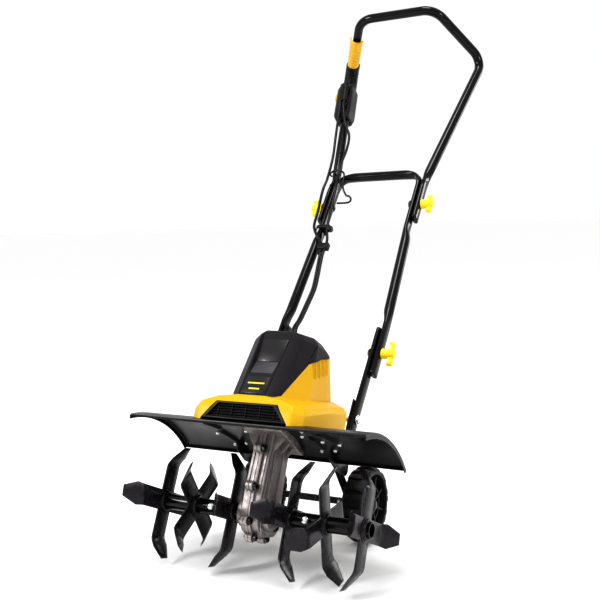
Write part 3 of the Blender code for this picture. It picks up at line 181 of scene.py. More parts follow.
LEMON = surface("bright_yellow_plastic", (0.80, 0.60, 0.012), 0.32, grain=900, bump=0.05, vary=0.04,
                rough_vary=0.05, coat=0.12)
AMBER = surface("amber_lever_plastic", (0.62, 0.36, 0.012), 0.36, grain=900, bump=0.06, vary=0.05,
                rough_vary=0.05, coat=0.06)
HOOD = surface("charcoal_plastic", (0.0150, 0.0125, 0.0160), 0.38, grain=1500, bump=0.22, vary=0.12,
               rough_vary=0.06, patches=10, specular=0.22)
# Lighter grey than the hood: a painted highlight for the top light that the scoop ledge's upturned face
# catches
LEDGE_PAINTED_HIGHLIGHT = surface("ledge_grey_painted_highlight", (0.045, 0.041, 0.047), 0.45, grain=1500, bump=0.2, vary=0.1,
                     patches=10, specular=0.5)
HOOD_PANEL = surface("smooth_dark_panel", (0.0045, 0.0040, 0.0050), 0.38, grain=1200, bump=0.03, vary=0.1,
                     rough_vary=0.05, coat=0.3, specular=0.36)
PLASTIC = surface("black_moulded_plastic", (0.0065, 0.0060, 0.0066), 0.42, grain=1300, bump=0.16, vary=0.14,
                  rough_vary=0.07, specular=0.28)
TYRE = surface("black_wheel_plastic", (0.0075, 0.0070, 0.0074), 0.50, grain=800, bump=0.25, vary=0.2,
               rough_vary=0.1, wear=(0.05, 0.05, 0.05), specular=0.28)
RUBBER = surface("black_cable_rubber", (0.0055, 0.0050, 0.0054), 0.34, grain=900, bump=0.06, vary=0.1,
                 specular=0.28)
ZINC = surface("zinc_plated_steel", (0.72, 0.73, 0.74), 0.24, metallic=1.0, grain=700, bump=0.07, vary=0.08,
               rough_vary=0.08)
BRIGHT = surface("bright_steel", (0.56, 0.56, 0.57), 0.25, metallic=1.0, grain=600, bump=0.08, vary=0.1,
                 rough_vary=0.08, lines=600)
BRONZE = surface("turned_bronze", (0.50, 0.30, 0.11), 0.32, metallic=1.0, grain=600, bump=0.1, vary=0.15)
COPPER = surface("varnished_copper", (0.45, 0.17, 0.06), 0.30, metallic=0.9, grain=900, bump=0.3, vary=0.2,
                 lines=900)
GOLD_PRINT = surface("plain_yellow_stripe", (0.85, 0.60, 0.03), 0.35, grain=900, bump=0.03)
BLACK_BOLT = surface("blackened_steel", (0.008, 0.0075, 0.008), 0.28, metallic=0.6, grain=700, bump=0.1,
                     wear=(0.3, 0.3, 0.3), specular=0.28)


# Building helpers ---------------------------------------------------------------------------
NO_SIZE = 1e-7                     # a ring narrower than this is one point


def linked(name, mesh):
    obj = bpy.data.objects.new(name, mesh)
    bpy.context.scene.collection.objects.link(obj)
    return obj


def from_bmesh(name, bm):
    bmesh.ops.recalc_face_normals(bm, faces=bm.faces)
    mesh = bpy.data.meshes.new(name)
    bm.to_mesh(mesh)
    bm.free()
    return linked(name, mesh)


def applied(obj):
    """The object with its modifiers made part of its mesh."""
    bpy.context.view_layer.update()
    graph = bpy.context.evaluated_depsgraph_get()
    mesh = bpy.data.meshes.new_from_object(obj.evaluated_get(graph))
    obj.modifiers.clear()
    old = obj.data
    obj.data = mesh
    if old.users == 0 and isinstance(old, bpy.types.Mesh):
        bpy.data.meshes.remove(old)
    return obj


def boolean(obj, *others, operation="DIFFERENCE"):
    for other in others:
        before = len(obj.data.vertices)
        for solver in ("MANIFOLD", "EXACT"):
            mod = obj.modifiers.new("bool", "BOOLEAN")
            mod.operation = operation
            mod.solver = solver
            mod.object = other
            applied(obj)
            if len(obj.data.vertices) not in (0, before):
                break
        bpy.data.objects.remove(other)
    return obj


def union(obj, *others):
    return boolean(obj, *others, operation="UNION")


def bevelled(obj, width, segments=2, angle=30):
    mod = obj.modifiers.new("bevel", "BEVEL")
    mod.width = width
    mod.segments = segments
    mod.limit_method = "ANGLE"
    mod.angle_limit = math.radians(angle)
    mod.harden_normals = False
    return applied(obj)


def turn_to(axis):
    if axis == "X":
        return Matrix.Rotation(math.radians(90), 4, "Y")
    if axis == "Y":
        return Matrix.Rotation(math.radians(-90), 4, "X")
    return Matrix.Identity(4)


def rod(name, radius, depth, centre=(0, 0, 0), axis="Z", segments=48, top=None, chamfer=0.0):
    bm = bmesh.new()
    matrix = Matrix.Translation(centre) @ turn_to(axis)
    bmesh.ops.create_cone(bm, cap_ends=True, segments=segments, radius1=radius,
                          radius2=radius if top is None else top, depth=depth, matrix=matrix)
    obj = from_bmesh(name, bm)
    return bevelled(obj, chamfer, 2, 50) if chamfer else obj


def block(name, size, centre=(0, 0, 0), round_edges=0.0, segments=3):
    bm = bmesh.new()
    bmesh.ops.create_cube(bm, size=1.0, matrix=Matrix.Translation(centre) @ Matrix.Diagonal((*size, 1.0)))
    obj = from_bmesh(name, bm)
    return bevelled(obj, round_edges, segments) if round_edges else obj


def full_turn(count):
    """The angles of a full turn in count steps."""
    return [2 * math.pi * i / count for i in range(count)]


def bridge(bm, rings, segments):
    """Faces between each ring and the next; a ring of one vertex is a point on the axis."""
    for lower, upper in zip(rings, rings[1:]):
        for i in range(segments):
            j = (i + 1) % segments
            corners = [lower[i % len(lower)], lower[j % len(lower)], upper[j % len(upper)],
                       upper[i % len(upper)]]
            unique = list(dict.fromkeys(corners))
            if len(unique) > 2:
                bm.faces.new(unique)


def turned(name, profile, axis="Z", centre=(0, 0, 0), segments=64):
    """A turned shape; the profile lists (radius, height) and is closed on the axis or on itself."""
    bm = bmesh.new()
    rings = []
    for radius, height in profile:
        if radius < NO_SIZE:
            rings.append([bm.verts.new((0, 0, height))])
            continue
        rings.append([bm.verts.new((radius * math.cos(a), radius * math.sin(a), height))
                      for a in full_turn(segments)])
    bridge(bm, rings + ([rings[0]] if profile[0][0] > NO_SIZE else []), segments)
    bm.transform(Matrix.Translation(centre) @ turn_to(axis))
    return from_bmesh(name, bm)


def outline(name, points, thickness, plane="YZ", shift=0.0):
    """A flat outline made solid. Plane YZ is thick along X, XY along Z, XZ along Y."""
    bm = bmesh.new()
    for half in (-0.5, 0.5):
        level = shift + half * thickness
        if plane == "YZ":
            ring = [bm.verts.new((level, a, b)) for a, b in points]
        elif plane == "XZ":
            ring = [bm.verts.new((a, level, b)) for a, b in points]
        else:
            ring = [bm.verts.new((a, b, level)) for a, b in points]
        bm.faces.new(ring)
        if half < 0:
            first = ring
    for i in range(len(points)):
        j = (i + 1) % len(points)
        bm.faces.new((first[i], first[j], ring[j], ring[i]))
    return from_bmesh(name, bm)


def loft(name, rings, closed=False):
    bm = bmesh.new()
    made = [[bm.verts.new(point) for point in ring] for ring in rings]
    pairs = list(zip(made, made[1:])) + ([(made[-1], made[0])] if closed else [])
    for lower, upper in pairs:
        for i in range(len(lower)):
            j = (i + 1) % len(lower)
            bm.faces.new((lower[i], lower[j], upper[j], upper[i]))
    if not closed:
        bm.faces.new(made[0][::-1])
        bm.faces.new(made[-1])
    return from_bmesh(name, bm)


def moved(obj, matrix):
    obj.data.transform(matrix)
    if matrix.determinant() < 0:
        obj.data.flip_normals()
    return obj


def on_side(obj, sign):
    """The shape as made for the right side, or mirrored for the left."""
    return moved(obj, Matrix.Diagonal((-1, 1, 1, 1))) if sign < 0 else obj


def joined(obj, *others):
    """The shapes as one mesh, each still its own closed shell."""
    bm = bmesh.new()
    for each in (obj, *others):
        bm.from_mesh(each.data)
    bm.to_mesh(obj.data)
    bm.free()
    for other in others:
        bpy.data.objects.remove(other)
    return obj


def arc(centre, radius, start, end, count):
    found = []
    for i in range(count + 1):
        angle = math.radians(start + (end - start) * i / count)
        found.append((centre[0] + radius * math.cos(angle), centre[1] + radius * math.sin(angle)))
    return found


def bent_path(points, radii, steps=12):
    """A 3D polyline with each inner corner replaced by an arc."""
    points = [Vector(p) for p in points]
    path = [points[0]]
    for before, corner, after, radius in zip(points, points[1:], points[2:], radii):
        inward = (before - corner).normalized()
        outward = (after - corner).normalized()
        half_angle = inward.angle(outward) / 2
        reach = radius / math.tan(half_angle)
        limit = 0.98 * min((before - corner).length, (after - corner).length)
        if reach > limit:
            radius *= limit / reach
            reach = limit
        centre = corner + (inward + outward).normalized() * (radius / math.sin(half_angle))
        first = corner + inward * reach - centre
        last = corner + outward * reach - centre
        path += [centre + first.slerp(last, i / steps) * radius for i in range(steps + 1)]
    path.append(points[-1])
    return path


def smooth_path(points, spacing):
    points = [Vector(p) for p in points]
    padded = [2 * points[0] - points[1]] + points + [2 * points[-1] - points[-2]]
    path = []
    for a, b, c, d in zip(padded, padded[1:], padded[2:], padded[3:]):
        count = max(1, round((c - b).length / spacing))
        for i in range(count):
            t = i / count
            path.append(0.5 * (2 * b + (c - a) * t + (2 * a - 5 * b + 4 * c - d) * t * t
                               + (3 * b - a - 3 * c + d) * t ** 3))
    path.append(points[-1])
    return path


def spaced(path, step):
    """The path with its long straight runs divided."""
    dense = [path[0]]
    for a, b in zip(path, path[1:]):
        count = max(1, math.ceil((b - a).length / step))
        dense += [a.lerp(b, (i + 1) / count) for i in range(count)]
    return [p for i, p in enumerate(dense) if i == 0 or (p - dense[i - 1]).length > 1e-6]


ROUND_CAP = ((0.0, 0.0), (0.72, 0.0), (0.93, 0.0004), (1.0, 0.0014))


def sweep(name, path, radius, segments=32, cap=ROUND_CAP, radii=None):
    """A round bar along a path, its ends closed with a small rounding."""
    path = [Vector(p) for p in path]
    tangents = []
    for i in range(len(path)):
        ahead = path[min(i + 1, len(path) - 1)] - path[max(i - 1, 0)]
        tangents.append(ahead.normalized())
    hint = Vector((1, 0, 0)) if abs(tangents[0].x) < 0.9 else Vector((0, 1, 0))
    normal = hint
    stations = []
    for i, (place, tangent) in enumerate(zip(path, tangents)):
        if i:
            normal = tangents[i - 1].rotation_difference(tangent) @ normal
        normal = (normal - tangent * normal.dot(tangent)).normalized()
        stations.append((place, tangent, normal, radii[i] if radii else radius))
    bm = bmesh.new()
    rings = []

    def add_ring(place, tangent, side, size):
        other = tangent.cross(side)
        if size < NO_SIZE:
            rings.append([bm.verts.new(place)])
            return
        rings.append([bm.verts.new(place + side * (size * math.cos(a)) + other * (size * math.sin(a)))
                      for a in full_turn(segments)])

    place, tangent, side, size = stations[0]
    for share, along_axis in cap:
        add_ring(place + tangent * along_axis, tangent, side, size * share)
    for place, tangent, side, size in stations[1:-1]:
        add_ring(place, tangent, side, size)
    place, tangent, side, size = stations[-1]
    for share, along_axis in reversed(cap):
        add_ring(place - tangent * along_axis, tangent, side, size * share)
    bridge(bm, rings, segments)
    return from_bmesh(name, bm)


def axes_at(origin, z_axis, y_hint):
    z_dir = Vector(z_axis).normalized()
    x_dir = Vector(y_hint).cross(z_dir).normalized()
    y_dir = z_dir.cross(x_dir)
    turn = Matrix((x_dir, y_dir, z_dir)).transposed().to_4x4()
    return Matrix.Translation(origin) @ turn


def piece(obj, name, mat, body, nodes=(), smooth=35, more=(), in_world=False):
    """Finish a shape: into the world frame, shaded, painted, and riding on its body."""
    if not in_world:
        obj.data.transform(MACHINE)
    obj.name = name
    obj.data.name = name
    bm = bmesh.new()
    bm.from_mesh(obj.data)
    bmesh.ops.remove_doubles(bm, verts=bm.verts, dist=0.000005)
    bmesh.ops.dissolve_degenerate(bm, edges=bm.edges, dist=0.000005)
    bm.to_mesh(obj.data)
    bm.free()
    indices = [p.material_index for p in obj.data.polygons] if more else None
    obj.data.materials.clear()
    for each in (mat, *more):
        obj.data.materials.append(each)
    if indices:
        for polygon, index in zip(obj.data.polygons, indices):
            polygon.material_index = index
    obj.data.shade_smooth()
    obj.data.set_sharp_from_angle(angle=math.radians(smooth))
    if body:
        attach(obj, body)
    if nodes:
        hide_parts(*nodes)
    return obj


# Dimensions, as in the CAD source -----------------------------------------------------------
GAP = 0.0003
TUBE_R = 0.0095
FLAT_THICK, FLAT_WIDER, FLAT_REACH, JOINT_TILT = 0.0100, 1.25, 0.0590, 0.0053
HUB_R, HUB_BORE = 0.0125, 0.0098
PIN_X = {"left": -0.080, "right": 0.091}
STAR_X = {"left": (-0.046, -0.118, -0.181), "right": (0.057, 0.118, 0.183)}
STAR_ANGLE = {("left", 0): 0.0, ("left", 1): -54.0, ("left", 2): 0.0,
              ("right", 0): 0.0, ("right", 1): -28.0, ("right", 2): 0.0}
STAR_OUTWARD = {("left", 0): True, ("left", 1): True, ("left", 2): False,
                ("right", 0): True, ("right", 1): True, ("right", 2): False}
BLADE_HALF, BLADE_BEND_R, BLADE_SKEW = 0.0165, 0.061, 0.16
BLADE_BEND, BLADE_TIP, BLADE_THICK = math.radians(36.0), 0.037, 0.0035
WORM_Y = joint_place("motor_spin")[0]
LOWER_PIVOT = joint_place("frame_fold")
UPPER_PIVOT = joint_place("handle_fold")
BRACKET_PIVOT = joint_place("wheel_arm_swing")
WHEEL_Y, WHEEL_Z = joint_place("left_wheel_spin")
WHEEL_X, WHEEL_W = 0.0835, 0.036
AXLE_R, ARM_X = 0.0045, 0.0735
CROSSBAR, FOOT_BOLT = (0.2408, 0.7270), (0.0985, 0.1840)
JOINT_X_LOW, JOINT_X_UP = 0.0988, 0.0967
GRIP_D_OUT, GRIP_E, GRIP_F = (0.0997, 0.2415, 0.7121), (0.1570, 0.3297, 1.0445), (0.0850, 0.1905, 1.0896)
GRIP_BEND = 0.032
GUARD_CENTRE, GUARD_R, GUARD_THICK, GUARD_HALF = (-0.0353, -0.0624), 0.1984, 0.002, 0.210


def unit2(a, b):
    length = math.hypot(b[0] - a[0], b[1] - a[1])
    return ((b[0] - a[0]) / length, (b[1] - a[1]) / length)


def along(point, direction, distance):
    return (point[0] + direction[0] * distance, point[1] + direction[1] * distance)


leg_line = unit2(LOWER_PIVOT, CROSSBAR)
low_line = unit2(FOOT_BOLT, LOWER_PIVOT)
SIDES = (("left", -1), ("right", 1))


def guard_arc(radius, y_from, y_to, count=14):
    start = math.degrees(math.acos((y_from - GUARD_CENTRE[0]) / radius))
    end = math.degrees(math.acos((y_to - GUARD_CENTRE[0]) / radius))
    return arc(GUARD_CENTRE, radius, start, end, count)


def below_guard(name):
    top = guard_arc(GUARD_R + GAP, -0.13, 0.0695, 40)
    return outline(name, [(-0.13, 0.0)] + top + [(0.0695, 0.0)], 0.5)


def above_guard(name):
    low = guard_arc(GUARD_R - GUARD_THICK - GAP, -0.10, 0.10, 40)
    return outline(name, [(-0.10, 0.20)] + low + [(0.10, 0.20)], 0.5)


# Tines --------------------------------------------------------------------------------------
BEND_LONG = 0.011                  # length of strip that the blade's bend takes


def bent_point(distance, across, off, outward):
    """A point of the strip after its tip is bent sideways: off is measured from the strip's middle."""
    start = BLADE_BEND_R + BLADE_SKEW * across - BEND_LONG / 2
    radius = BEND_LONG / BLADE_BEND
    turn = min(max((distance - start) / radius, 0.0), BLADE_BEND)
    beyond = max(0.0, distance - start - BEND_LONG)
    side = radius * (1 - math.cos(turn)) + beyond * math.sin(turn)
    radial = min(distance, start) + radius * math.sin(turn) + beyond * math.cos(turn)
    return Vector((outward * (side + off * math.cos(turn)), across, radial - off * math.sin(turn)))


def blade_width(distance):
    """Half width of the strip: level, then flared at the bend and drawn to a blunt point."""
    flare = BLADE_BEND_R + 0.013
    tip = BLADE_BEND_R + BLADE_TIP
    if distance < BLADE_BEND_R:
        return BLADE_HALF
    if distance < flare:
        share = (distance - BLADE_BEND_R) / (flare - BLADE_BEND_R)
        return BLADE_HALF * (1 + 0.12 * share)
    return BLADE_HALF * (1.12 - 0.60 * (distance - flare) / (tip - flare))


def blade(name, angle, outward):
    """One half strip with chamfered edges and a wider ground edge round its tip."""
    stations = [i * 0.004 for i in range(13)] + [0.050 + i * 0.002 for i in range(24)]
    tip = BLADE_BEND_R + BLADE_TIP
    stations = [s for s in stations if s < tip - 0.003] + [tip - 0.0030, tip - 0.0006, tip]
    rings = []
    for index, distance in enumerate(stations):
        half = blade_width(distance)
        ground = min(1.0, max(0.0, (distance - BLADE_BEND_R - 0.002) / 0.006))
        slope = 0.0009 + 0.0040 * ground
        thick = BLADE_THICK / 2
        edge = thick - 0.0006 - 0.0009 * ground
        last = len(stations) - 1 - index
        if last < 2:
            thick = edge + 0.0001 + 0.0002 * last
        ring = []
        for across, off in ((-half, -edge), (-half, edge), (-half + slope, thick), (half - slope, thick),
                            (half, edge), (half, -edge), (half - slope, -thick), (-half + slope, -thick)):
            skewed = distance + (BLADE_SKEW * across if distance > 0.03 else 0.0)
            ring.append(bent_point(skewed, across, off, outward))
        rings.append(ring)
    return moved(loft(name, rings), Matrix.Rotation(-angle, 4, "X"))


def star(side, index):
    sign = 1 if side == "right" else -1
    name = "tine_star_%s_%d" % (side, index + 1)
    up = math.radians(STAR_ANGLE[(side, index)])
    first_out = STAR_OUTWARD[(side, index)]
    body = rod(name, 0.0195, 0.0062, axis="X", chamfer=0.0008)
    blades = []
    for quarter in range(4):
        outward = first_out if quarter % 2 == 0 else not first_out
        if (side, index) == ("left", 1):
            outward = quarter in (1, 2)
        blades.append(blade("blade", up + quarter * math.pi / 2, sign if outward else -sign))
    union(body, *blades)
    for face in (-1, 1):
        bead = [(HUB_R + 0.0003 + 0.0042 * math.cos(a), face * (0.0029 + 0.0040 * math.sin(a)))
                for a in (0, math.pi / 8, math.pi / 4, 3 * math.pi / 8, math.pi / 2)]
        profile = bead + [(HUB_R + 0.0003, face * 0.0020)]
        union(body, turned("weld", profile if face > 0 else profile[::-1], axis="X"))
    boolean(body, rod("bore", HUB_R + 0.0004, 0.04, axis="X"))
    moved(body, Matrix.Translation((STAR_X[side][index], 0, 0)))
    piece(body, name + "_blades", SATIN_BLACK, "tine_drive", [name])


def hub(side, sign):
    length = 0.162
    centre = sign * (0.0325 + length / 2)
    half = length / 2
    profile = [(HUB_BORE, half - 0.0006), (HUB_BORE + 0.0006, half), (HUB_R - 0.0008, half),
               (HUB_R, half - 0.0008), (HUB_R, 0.0008 - half), (HUB_R - 0.0008, -half),
               (HUB_BORE + 0.0006, -half), (HUB_BORE, 0.0006 - half)]
    tube = turned("hub", profile, axis="X", centre=(centre, 0, 0))
    boolean(tube, rod("hole", 0.0034, 0.06, (PIN_X[side], 0, 0), "Y", 24))
    piece(tube, "tine_hub_tube_" + side, GLOSS_BLACK, "tine_drive",
          ["tine_hub_" + side])
    head = [(0.0, -0.0215), (0.0038, -0.0213), (0.0052, -0.0203), (0.0056, -0.0190), (0.0056, -0.0180),
            (0.0030, -0.0180), (0.0030, 0.0235), (0.0022, 0.0250), (0.0, 0.0250)]
    pin = turned("pin", head, axis="Y")
    path = [Vector((0.0042 * math.cos(a), 0.0195, 0.0042 * math.sin(a)))
            for a in [math.radians(-200 + 20 * i) for i in range(14)]]
    clip = sweep("clip", path, 0.0006, 10)
    joined(pin, clip)
    moved(pin, Matrix.Translation((PIN_X[side], 0, 0)))
    piece(pin, "hub_pin_" + side, ZINC, "tine_drive", ["clevis_pin_" + side])


for half_name, half_sign in SIDES:
    hub(half_name, half_sign)
    for plane_index in range(3):
        star(half_name, plane_index)


# Guard --------------------------------------------------------------------------------------
PRESSED = (  # pressed channels: end points (x, y) and half width; y runs to the rear
    ((0.074, -0.032), (0.081, -0.012), 0.0070), ((0.090, -0.014), (0.106, 0.012), 0.0066),
    ((0.067, 0.008), (0.075, 0.034), 0.0060), ((-0.121, -0.022), (-0.106, -0.002), 0.0068),
    ((-0.109, 0.012), (-0.093, 0.038), 0.0064),
)
GUARD_HOLES = ((0.0645, -0.0286), (0.083, 0.0135), (0.111, 0.0186), (-0.118, 0.018), (-0.0725, 0.042),
               (-0.0965, 0.047), (0.071, 0.042), (0.096, 0.038))
GUARD_Y = (-0.111, 0.068)


def pressed_depth(x, y):
    deepest = 0.0
    for (ax, ay), (bx, by), half in PRESSED:
        length = math.hypot(bx - ax, by - ay)
        run = ((x - ax) * (bx - ax) + (y - ay) * (by - ay)) / length
        off = abs((x - ax) * (by - ay) - (y - ay) * (bx - ax)) / length
        over = max(0.0, -run, run - length)
        share = 1 - (math.hypot(off, over) - half * 0.45) / (half * 0.65)
        share = min(1.0, max(0.0, share))
        deepest = max(deepest, share * share * (3 - 2 * share))
    return deepest * 0.0042


def tine_guard():
    """Sheet with rolled end lips, hemmed edges, pressed channels and holes, as one closed skin."""
    lip = 0.0045
    across = []                    # (x, drop) along the sheet, from the left lip's edge to the right's
    for degrees in range(90, 0, -15):
        a = math.radians(degrees)
        across.append((-GUARD_HALF + lip - lip * math.sin(a), lip - lip * math.cos(a)))
    left = [(-GUARD_HALF, 0.0092), (-GUARD_HALF, 0.0070)] + across
    flat_from = GUARD_HALF - lip
    count = 168
    middle = [(-flat_from + 2 * flat_from * i / count, 0.0) for i in range(count + 1)]
    right = [(-x, drop) for x, drop in reversed(left)]
    columns = left + middle + right
    rows = 64
    start = math.acos((GUARD_Y[0] - GUARD_CENTRE[0]) / GUARD_R)
    end = math.acos((GUARD_Y[1] - GUARD_CENTRE[0]) / GUARD_R)
    hem = [(start + 0.0010, 0.0052), (start + 0.0002, 0.0036), (start - 0.0010, 0.0016),
           (start - 0.006, 0.0002)]
    tail = [(end + 0.006, 0.0002), (end + 0.0010, 0.0016), (end - 0.0002, 0.0036), (end - 0.0010, 0.0050)]
    run = hem + [(start - 0.012 + (end - start + 0.024) * i / rows, 0.0) for i in range(rows + 1)] + tail
    bm = bmesh.new()
    grid = []
    for angle, hem_drop in run:
        row = []
        for x, drop in columns:
            y = GUARD_CENTRE[0] + GUARD_R * math.cos(angle)
            depth = pressed_depth(x, y) if drop == 0.0 and hem_drop == 0.0 else 0.0
            radius = GUARD_R - max(drop, hem_drop) - depth
            row.append(bm.verts.new((x, GUARD_CENTRE[0] + radius * math.cos(angle),
                                     GUARD_CENTRE[1] + radius * math.sin(angle))))
        grid.append(row)
    for lower, upper in zip(grid, grid[1:]):
        for i in range(len(lower) - 1):
            bm.faces.new((lower[i], lower[i + 1], upper[i + 1], upper[i]))
    sheet = from_bmesh("guard", bm)
    normal_up = sum((p.normal.z for p in sheet.data.polygons)) > 0
    mod = sheet.modifiers.new("thick", "SOLIDIFY")
    mod.thickness = 0.0018
    mod.offset = -1.0 if normal_up else 1.0
    applied(sheet)
    cuts = [rod("hole", 0.0030, 0.05, (x, y, 0.128), "Z", 20) for x, y in GUARD_HOLES]
    cuts.append(rod("motor_hole", 0.016, 0.08, (0, WORM_Y, 0.130), "Z", 48))
    boolean(sheet, *cuts)
    piece(sheet, "tine_guard_sheet", SHEET_BLACK, "machine", ["tine_guard"], 40)


def guard_height(y, radius=GUARD_R - 0.0019):
    return GUARD_CENTRE[1] + math.sqrt(radius ** 2 - (y - GUARD_CENTRE[0]) ** 2)


def guard_screws():
    """Rounded screw ends under the guard that hold the housing down."""
    shapes = []
    for x, y in GUARD_HOLES + ((-0.052, 0.0), (0.052, 0.0)):
        profile = [(0.0, -0.0046), (0.0016, -0.0045), (0.0028, -0.0038), (0.0036, -0.0024), (0.0038, 0.0),
                   (0.0038, 0.0004), (0.0, 0.0004)]
        lean = math.atan2(y - GUARD_CENTRE[0], guard_height(y) - GUARD_CENTRE[1])
        screw = turned("screw", profile, segments=24)
        shapes.append(moved(screw, Matrix.Translation((x, y, guard_height(y)))
                            @ Matrix.Rotation(-lean, 4, "X")))
    screws = joined(*shapes)
    piece(screws, "guard_screws", ZINC, "machine")


tine_guard()
guard_screws()


# Gearbox ------------------------------------------------------------------------------------
def gearbox_outline(grow=0.0):
    sump = arc((0.002, 0.0), 0.0340 + grow, 165, 285, 28)
    rear = arc((0.0255, -0.014), 0.0170 + grow, 290, 360, 12)
    return ([(-0.0265 - grow, 0.128), (-0.0320 - grow, 0.030)] + sump + rear
            + [(0.0375 + grow, 0.040), (0.0340 + grow, 0.128)])


SEAM_BOLTS = ((-0.0385, 0.0990), (-0.0415, 0.0380), (-0.0390, -0.0150), (-0.0140, -0.0375),
              (0.0250, -0.0345))


def gearbox_half(side, sign):
    half_width = 0.0165
    name = "gearbox_%s_casting" % side
    width = half_width - GAP / 2
    body = outline(name, gearbox_outline(), width, shift=half_width / 2 + GAP / 4)
    bevelled(body, 0.0022, 3, 60)
    adds = [bevelled(outline("rim", gearbox_outline(0.0043), 0.0052 - GAP / 2, shift=0.0026 + GAP / 4),
                     0.0007, 2, 60)]
    adds.append(bevelled(outline("step", gearbox_outline(-0.0065), 0.0030, shift=half_width), 0.0009, 2, 60))
    for y, z in SEAM_BOLTS:
        adds.append(rod("ear", 0.0078, 0.0064 - GAP / 2, (0.0032 + GAP / 4, y, z), "X", 40, chamfer=0.0008))
    saddle = [(0.052, 0.1070), (-0.040, 0.1265), (-0.040, 0.145), (0.052, 0.145)]
    adds.append(bevelled(outline("flange", saddle, 0.034 - GAP / 2, shift=0.017 + GAP / 4), 0.0012, 2, 50))
    adds.append(rod("boss", 0.0225, 0.014, (0.021, 0, 0), "X", 64, chamfer=0.0014))
    adds.append(rod("seal_lip", 0.0190, 0.0015, (0.0284, 0, 0), "X", 64, chamfer=0.0004))
    for rib_y in (-0.018, 0.006, 0.028):
        rib = [(0.0118, 0.0900), (0.0160, 0.0960), (0.0331, 0.1193), (0.0331, 0.1230), (0.0118, 0.1230)]
        adds.append(bevelled(outline("rib", rib, 0.004, "XZ", rib_y), 0.0008, 2, 50))
    for rib_y in (-0.014, 0.012):
        web = [(rib_y - 0.0016, 0.0240), (rib_y + 0.0016, 0.0240), (rib_y + 0.0012, 0.1210),
               (rib_y - 0.0012, 0.1210)]
        adds.append(bevelled(outline("web", web, 0.0040, shift=half_width + 0.0012), 0.0005, 2, 50))
    front = [(-0.0300, 0.0300), (-0.0335, 0.0300), (-0.0290, 0.1180), (-0.0255, 0.1180)]
    adds.append(bevelled(outline("front_web", front, 0.0030, shift=0.0112), 0.0006, 2, 50))
    for index in range(6):
        angle = math.radians(-160 + index * 38)
        rib = rod("spoke", 0.0013, 0.012, (0, 0, 0), "Z", 12)
        moved(rib, Matrix.Translation((half_width, 0.0275 * math.cos(angle), 0.0275 * math.sin(angle)))
              @ Matrix.Rotation(-angle + math.pi / 2, 4, "X"))
        adds.append(rib)
    union(body, *adds)
    cuts = [rod("shaft", HUB_R + 0.0012, 0.12, (0, 0, 0), "X", 64),
            rod("worm", 0.0097, 0.180, (0, WORM_Y, 0.0645), "Z", 32)]
    if sign > 0:
        for y, z in SEAM_BOLTS:
            cuts.append(rod("sink", 0.0058, 0.0020, (0.0064, y, z), "X", 32))
    cuts.append(above_guard("room"))
    boolean(body, *cuts)
    on_side(body, sign)
    piece(body, name, CAST, "machine", ["gearbox_%s_half" % side], 32)


def seam_bolt(number, y, z):
    """Socket head bolt with a hexagon recess, its thread's end on the left."""
    head_at = 0.0052
    bolt = turned("bolt", [(0.0, head_at + 0.0064), (0.0046, head_at + 0.0064), (0.0053, head_at + 0.0057),
                           (0.0053, head_at), (0.0026, head_at), (0.0026, -0.0098), (0.0020, -0.0104),
                           (0.0, -0.0104)], axis="X", segments=40)
    boolean(bolt, rod("socket", 0.0029, 0.006, (head_at + 0.0064, 0, 0), "X", 6))
    moved(bolt, Matrix.Translation((0, y, z)))
    nodes = ["casing_bolt_%d" % number] if number <= 3 else ()
    piece(bolt, "seam_bolt_%d" % number, BLACK_BOLT, "machine", nodes)


def drain_plug():
    """Hexagon plug low on the right side of the sump."""
    plug = turned("plug", [(0.0, 0.0245), (0.0040, 0.0245), (0.0046, 0.0239), (0.0046, 0.0205),
                           (0.0060, 0.0203), (0.0062, 0.0199), (0.0062, 0.0160), (0.0, 0.0160)],
                  axis="X", segments=6)
    moved(plug, Matrix.Translation((0, 0.0260, -0.0160)))
    bevelled(plug, 0.0003, 2, 40)
    piece(plug, "sump_plug", BLACK_BOLT, "machine")


for half_name, half_sign in SIDES:
    gearbox_half(half_name, half_sign)
for bolt_number, bolt_place in enumerate(SEAM_BOLTS, 1):
    seam_bolt(bolt_number, *bolt_place)
drain_plug()


# Housing, hood and grille -------------------------------------------------------------------
def shoulder_z(y, base, slope=0.25):
    return base + (y + 0.100) * slope


BODY_BASE = ((0.083, -0.1050), (0.099, -0.0920), (0.1075, -0.030), (0.1060, 0.040), (0.0770, 0.0780),
             (0.045, 0.0960))
BODY_EDGE = ((0.078, -0.1015), (0.093, -0.0885), (0.1015, -0.030), (0.1000, 0.038), (0.0720, 0.0740),
             (0.043, 0.0910))
BODY_SHELF = ((0.055, -0.0965), (0.064, -0.0860), (0.0690, -0.030), (0.0680, 0.038), (0.0630, 0.0700),
              (0.040, 0.0880))
TOWER_FOOT = ((0.0240, -0.0925), (0.0426, -0.0800), (0.0640, -0.020), (0.0640, 0.040), (0.0600, 0.0700),
              (0.038, 0.0880))
TOWER_TOP = ((0.0280, -0.0508), (0.0460, -0.0390), (0.0580, -0.010), (0.0580, 0.025), (0.0560, 0.0420),
             (0.034, 0.0600))
CROWN = ((0.0230, -0.0440), (0.0380, -0.0360), (0.0470, -0.010), (0.0470, 0.022), (0.0440, 0.0340),
         (0.026, 0.0480))
BASE_TOP = (0.1440, 0.1430, 0.1640, 0.1790, 0.1860, 0.1900)
EDGE_TOP = (0.1560, 0.1560, 0.1735, 0.1890, 0.1980, 0.2020)
HOOD_LINE = ((-0.150, 0.1690), (-0.0860, 0.1705), (-0.0760, 0.1760), (-0.0260, 0.2430), (0.0100, 0.2620),
             (0.0485, 0.2745), (0.1200, 0.2960))


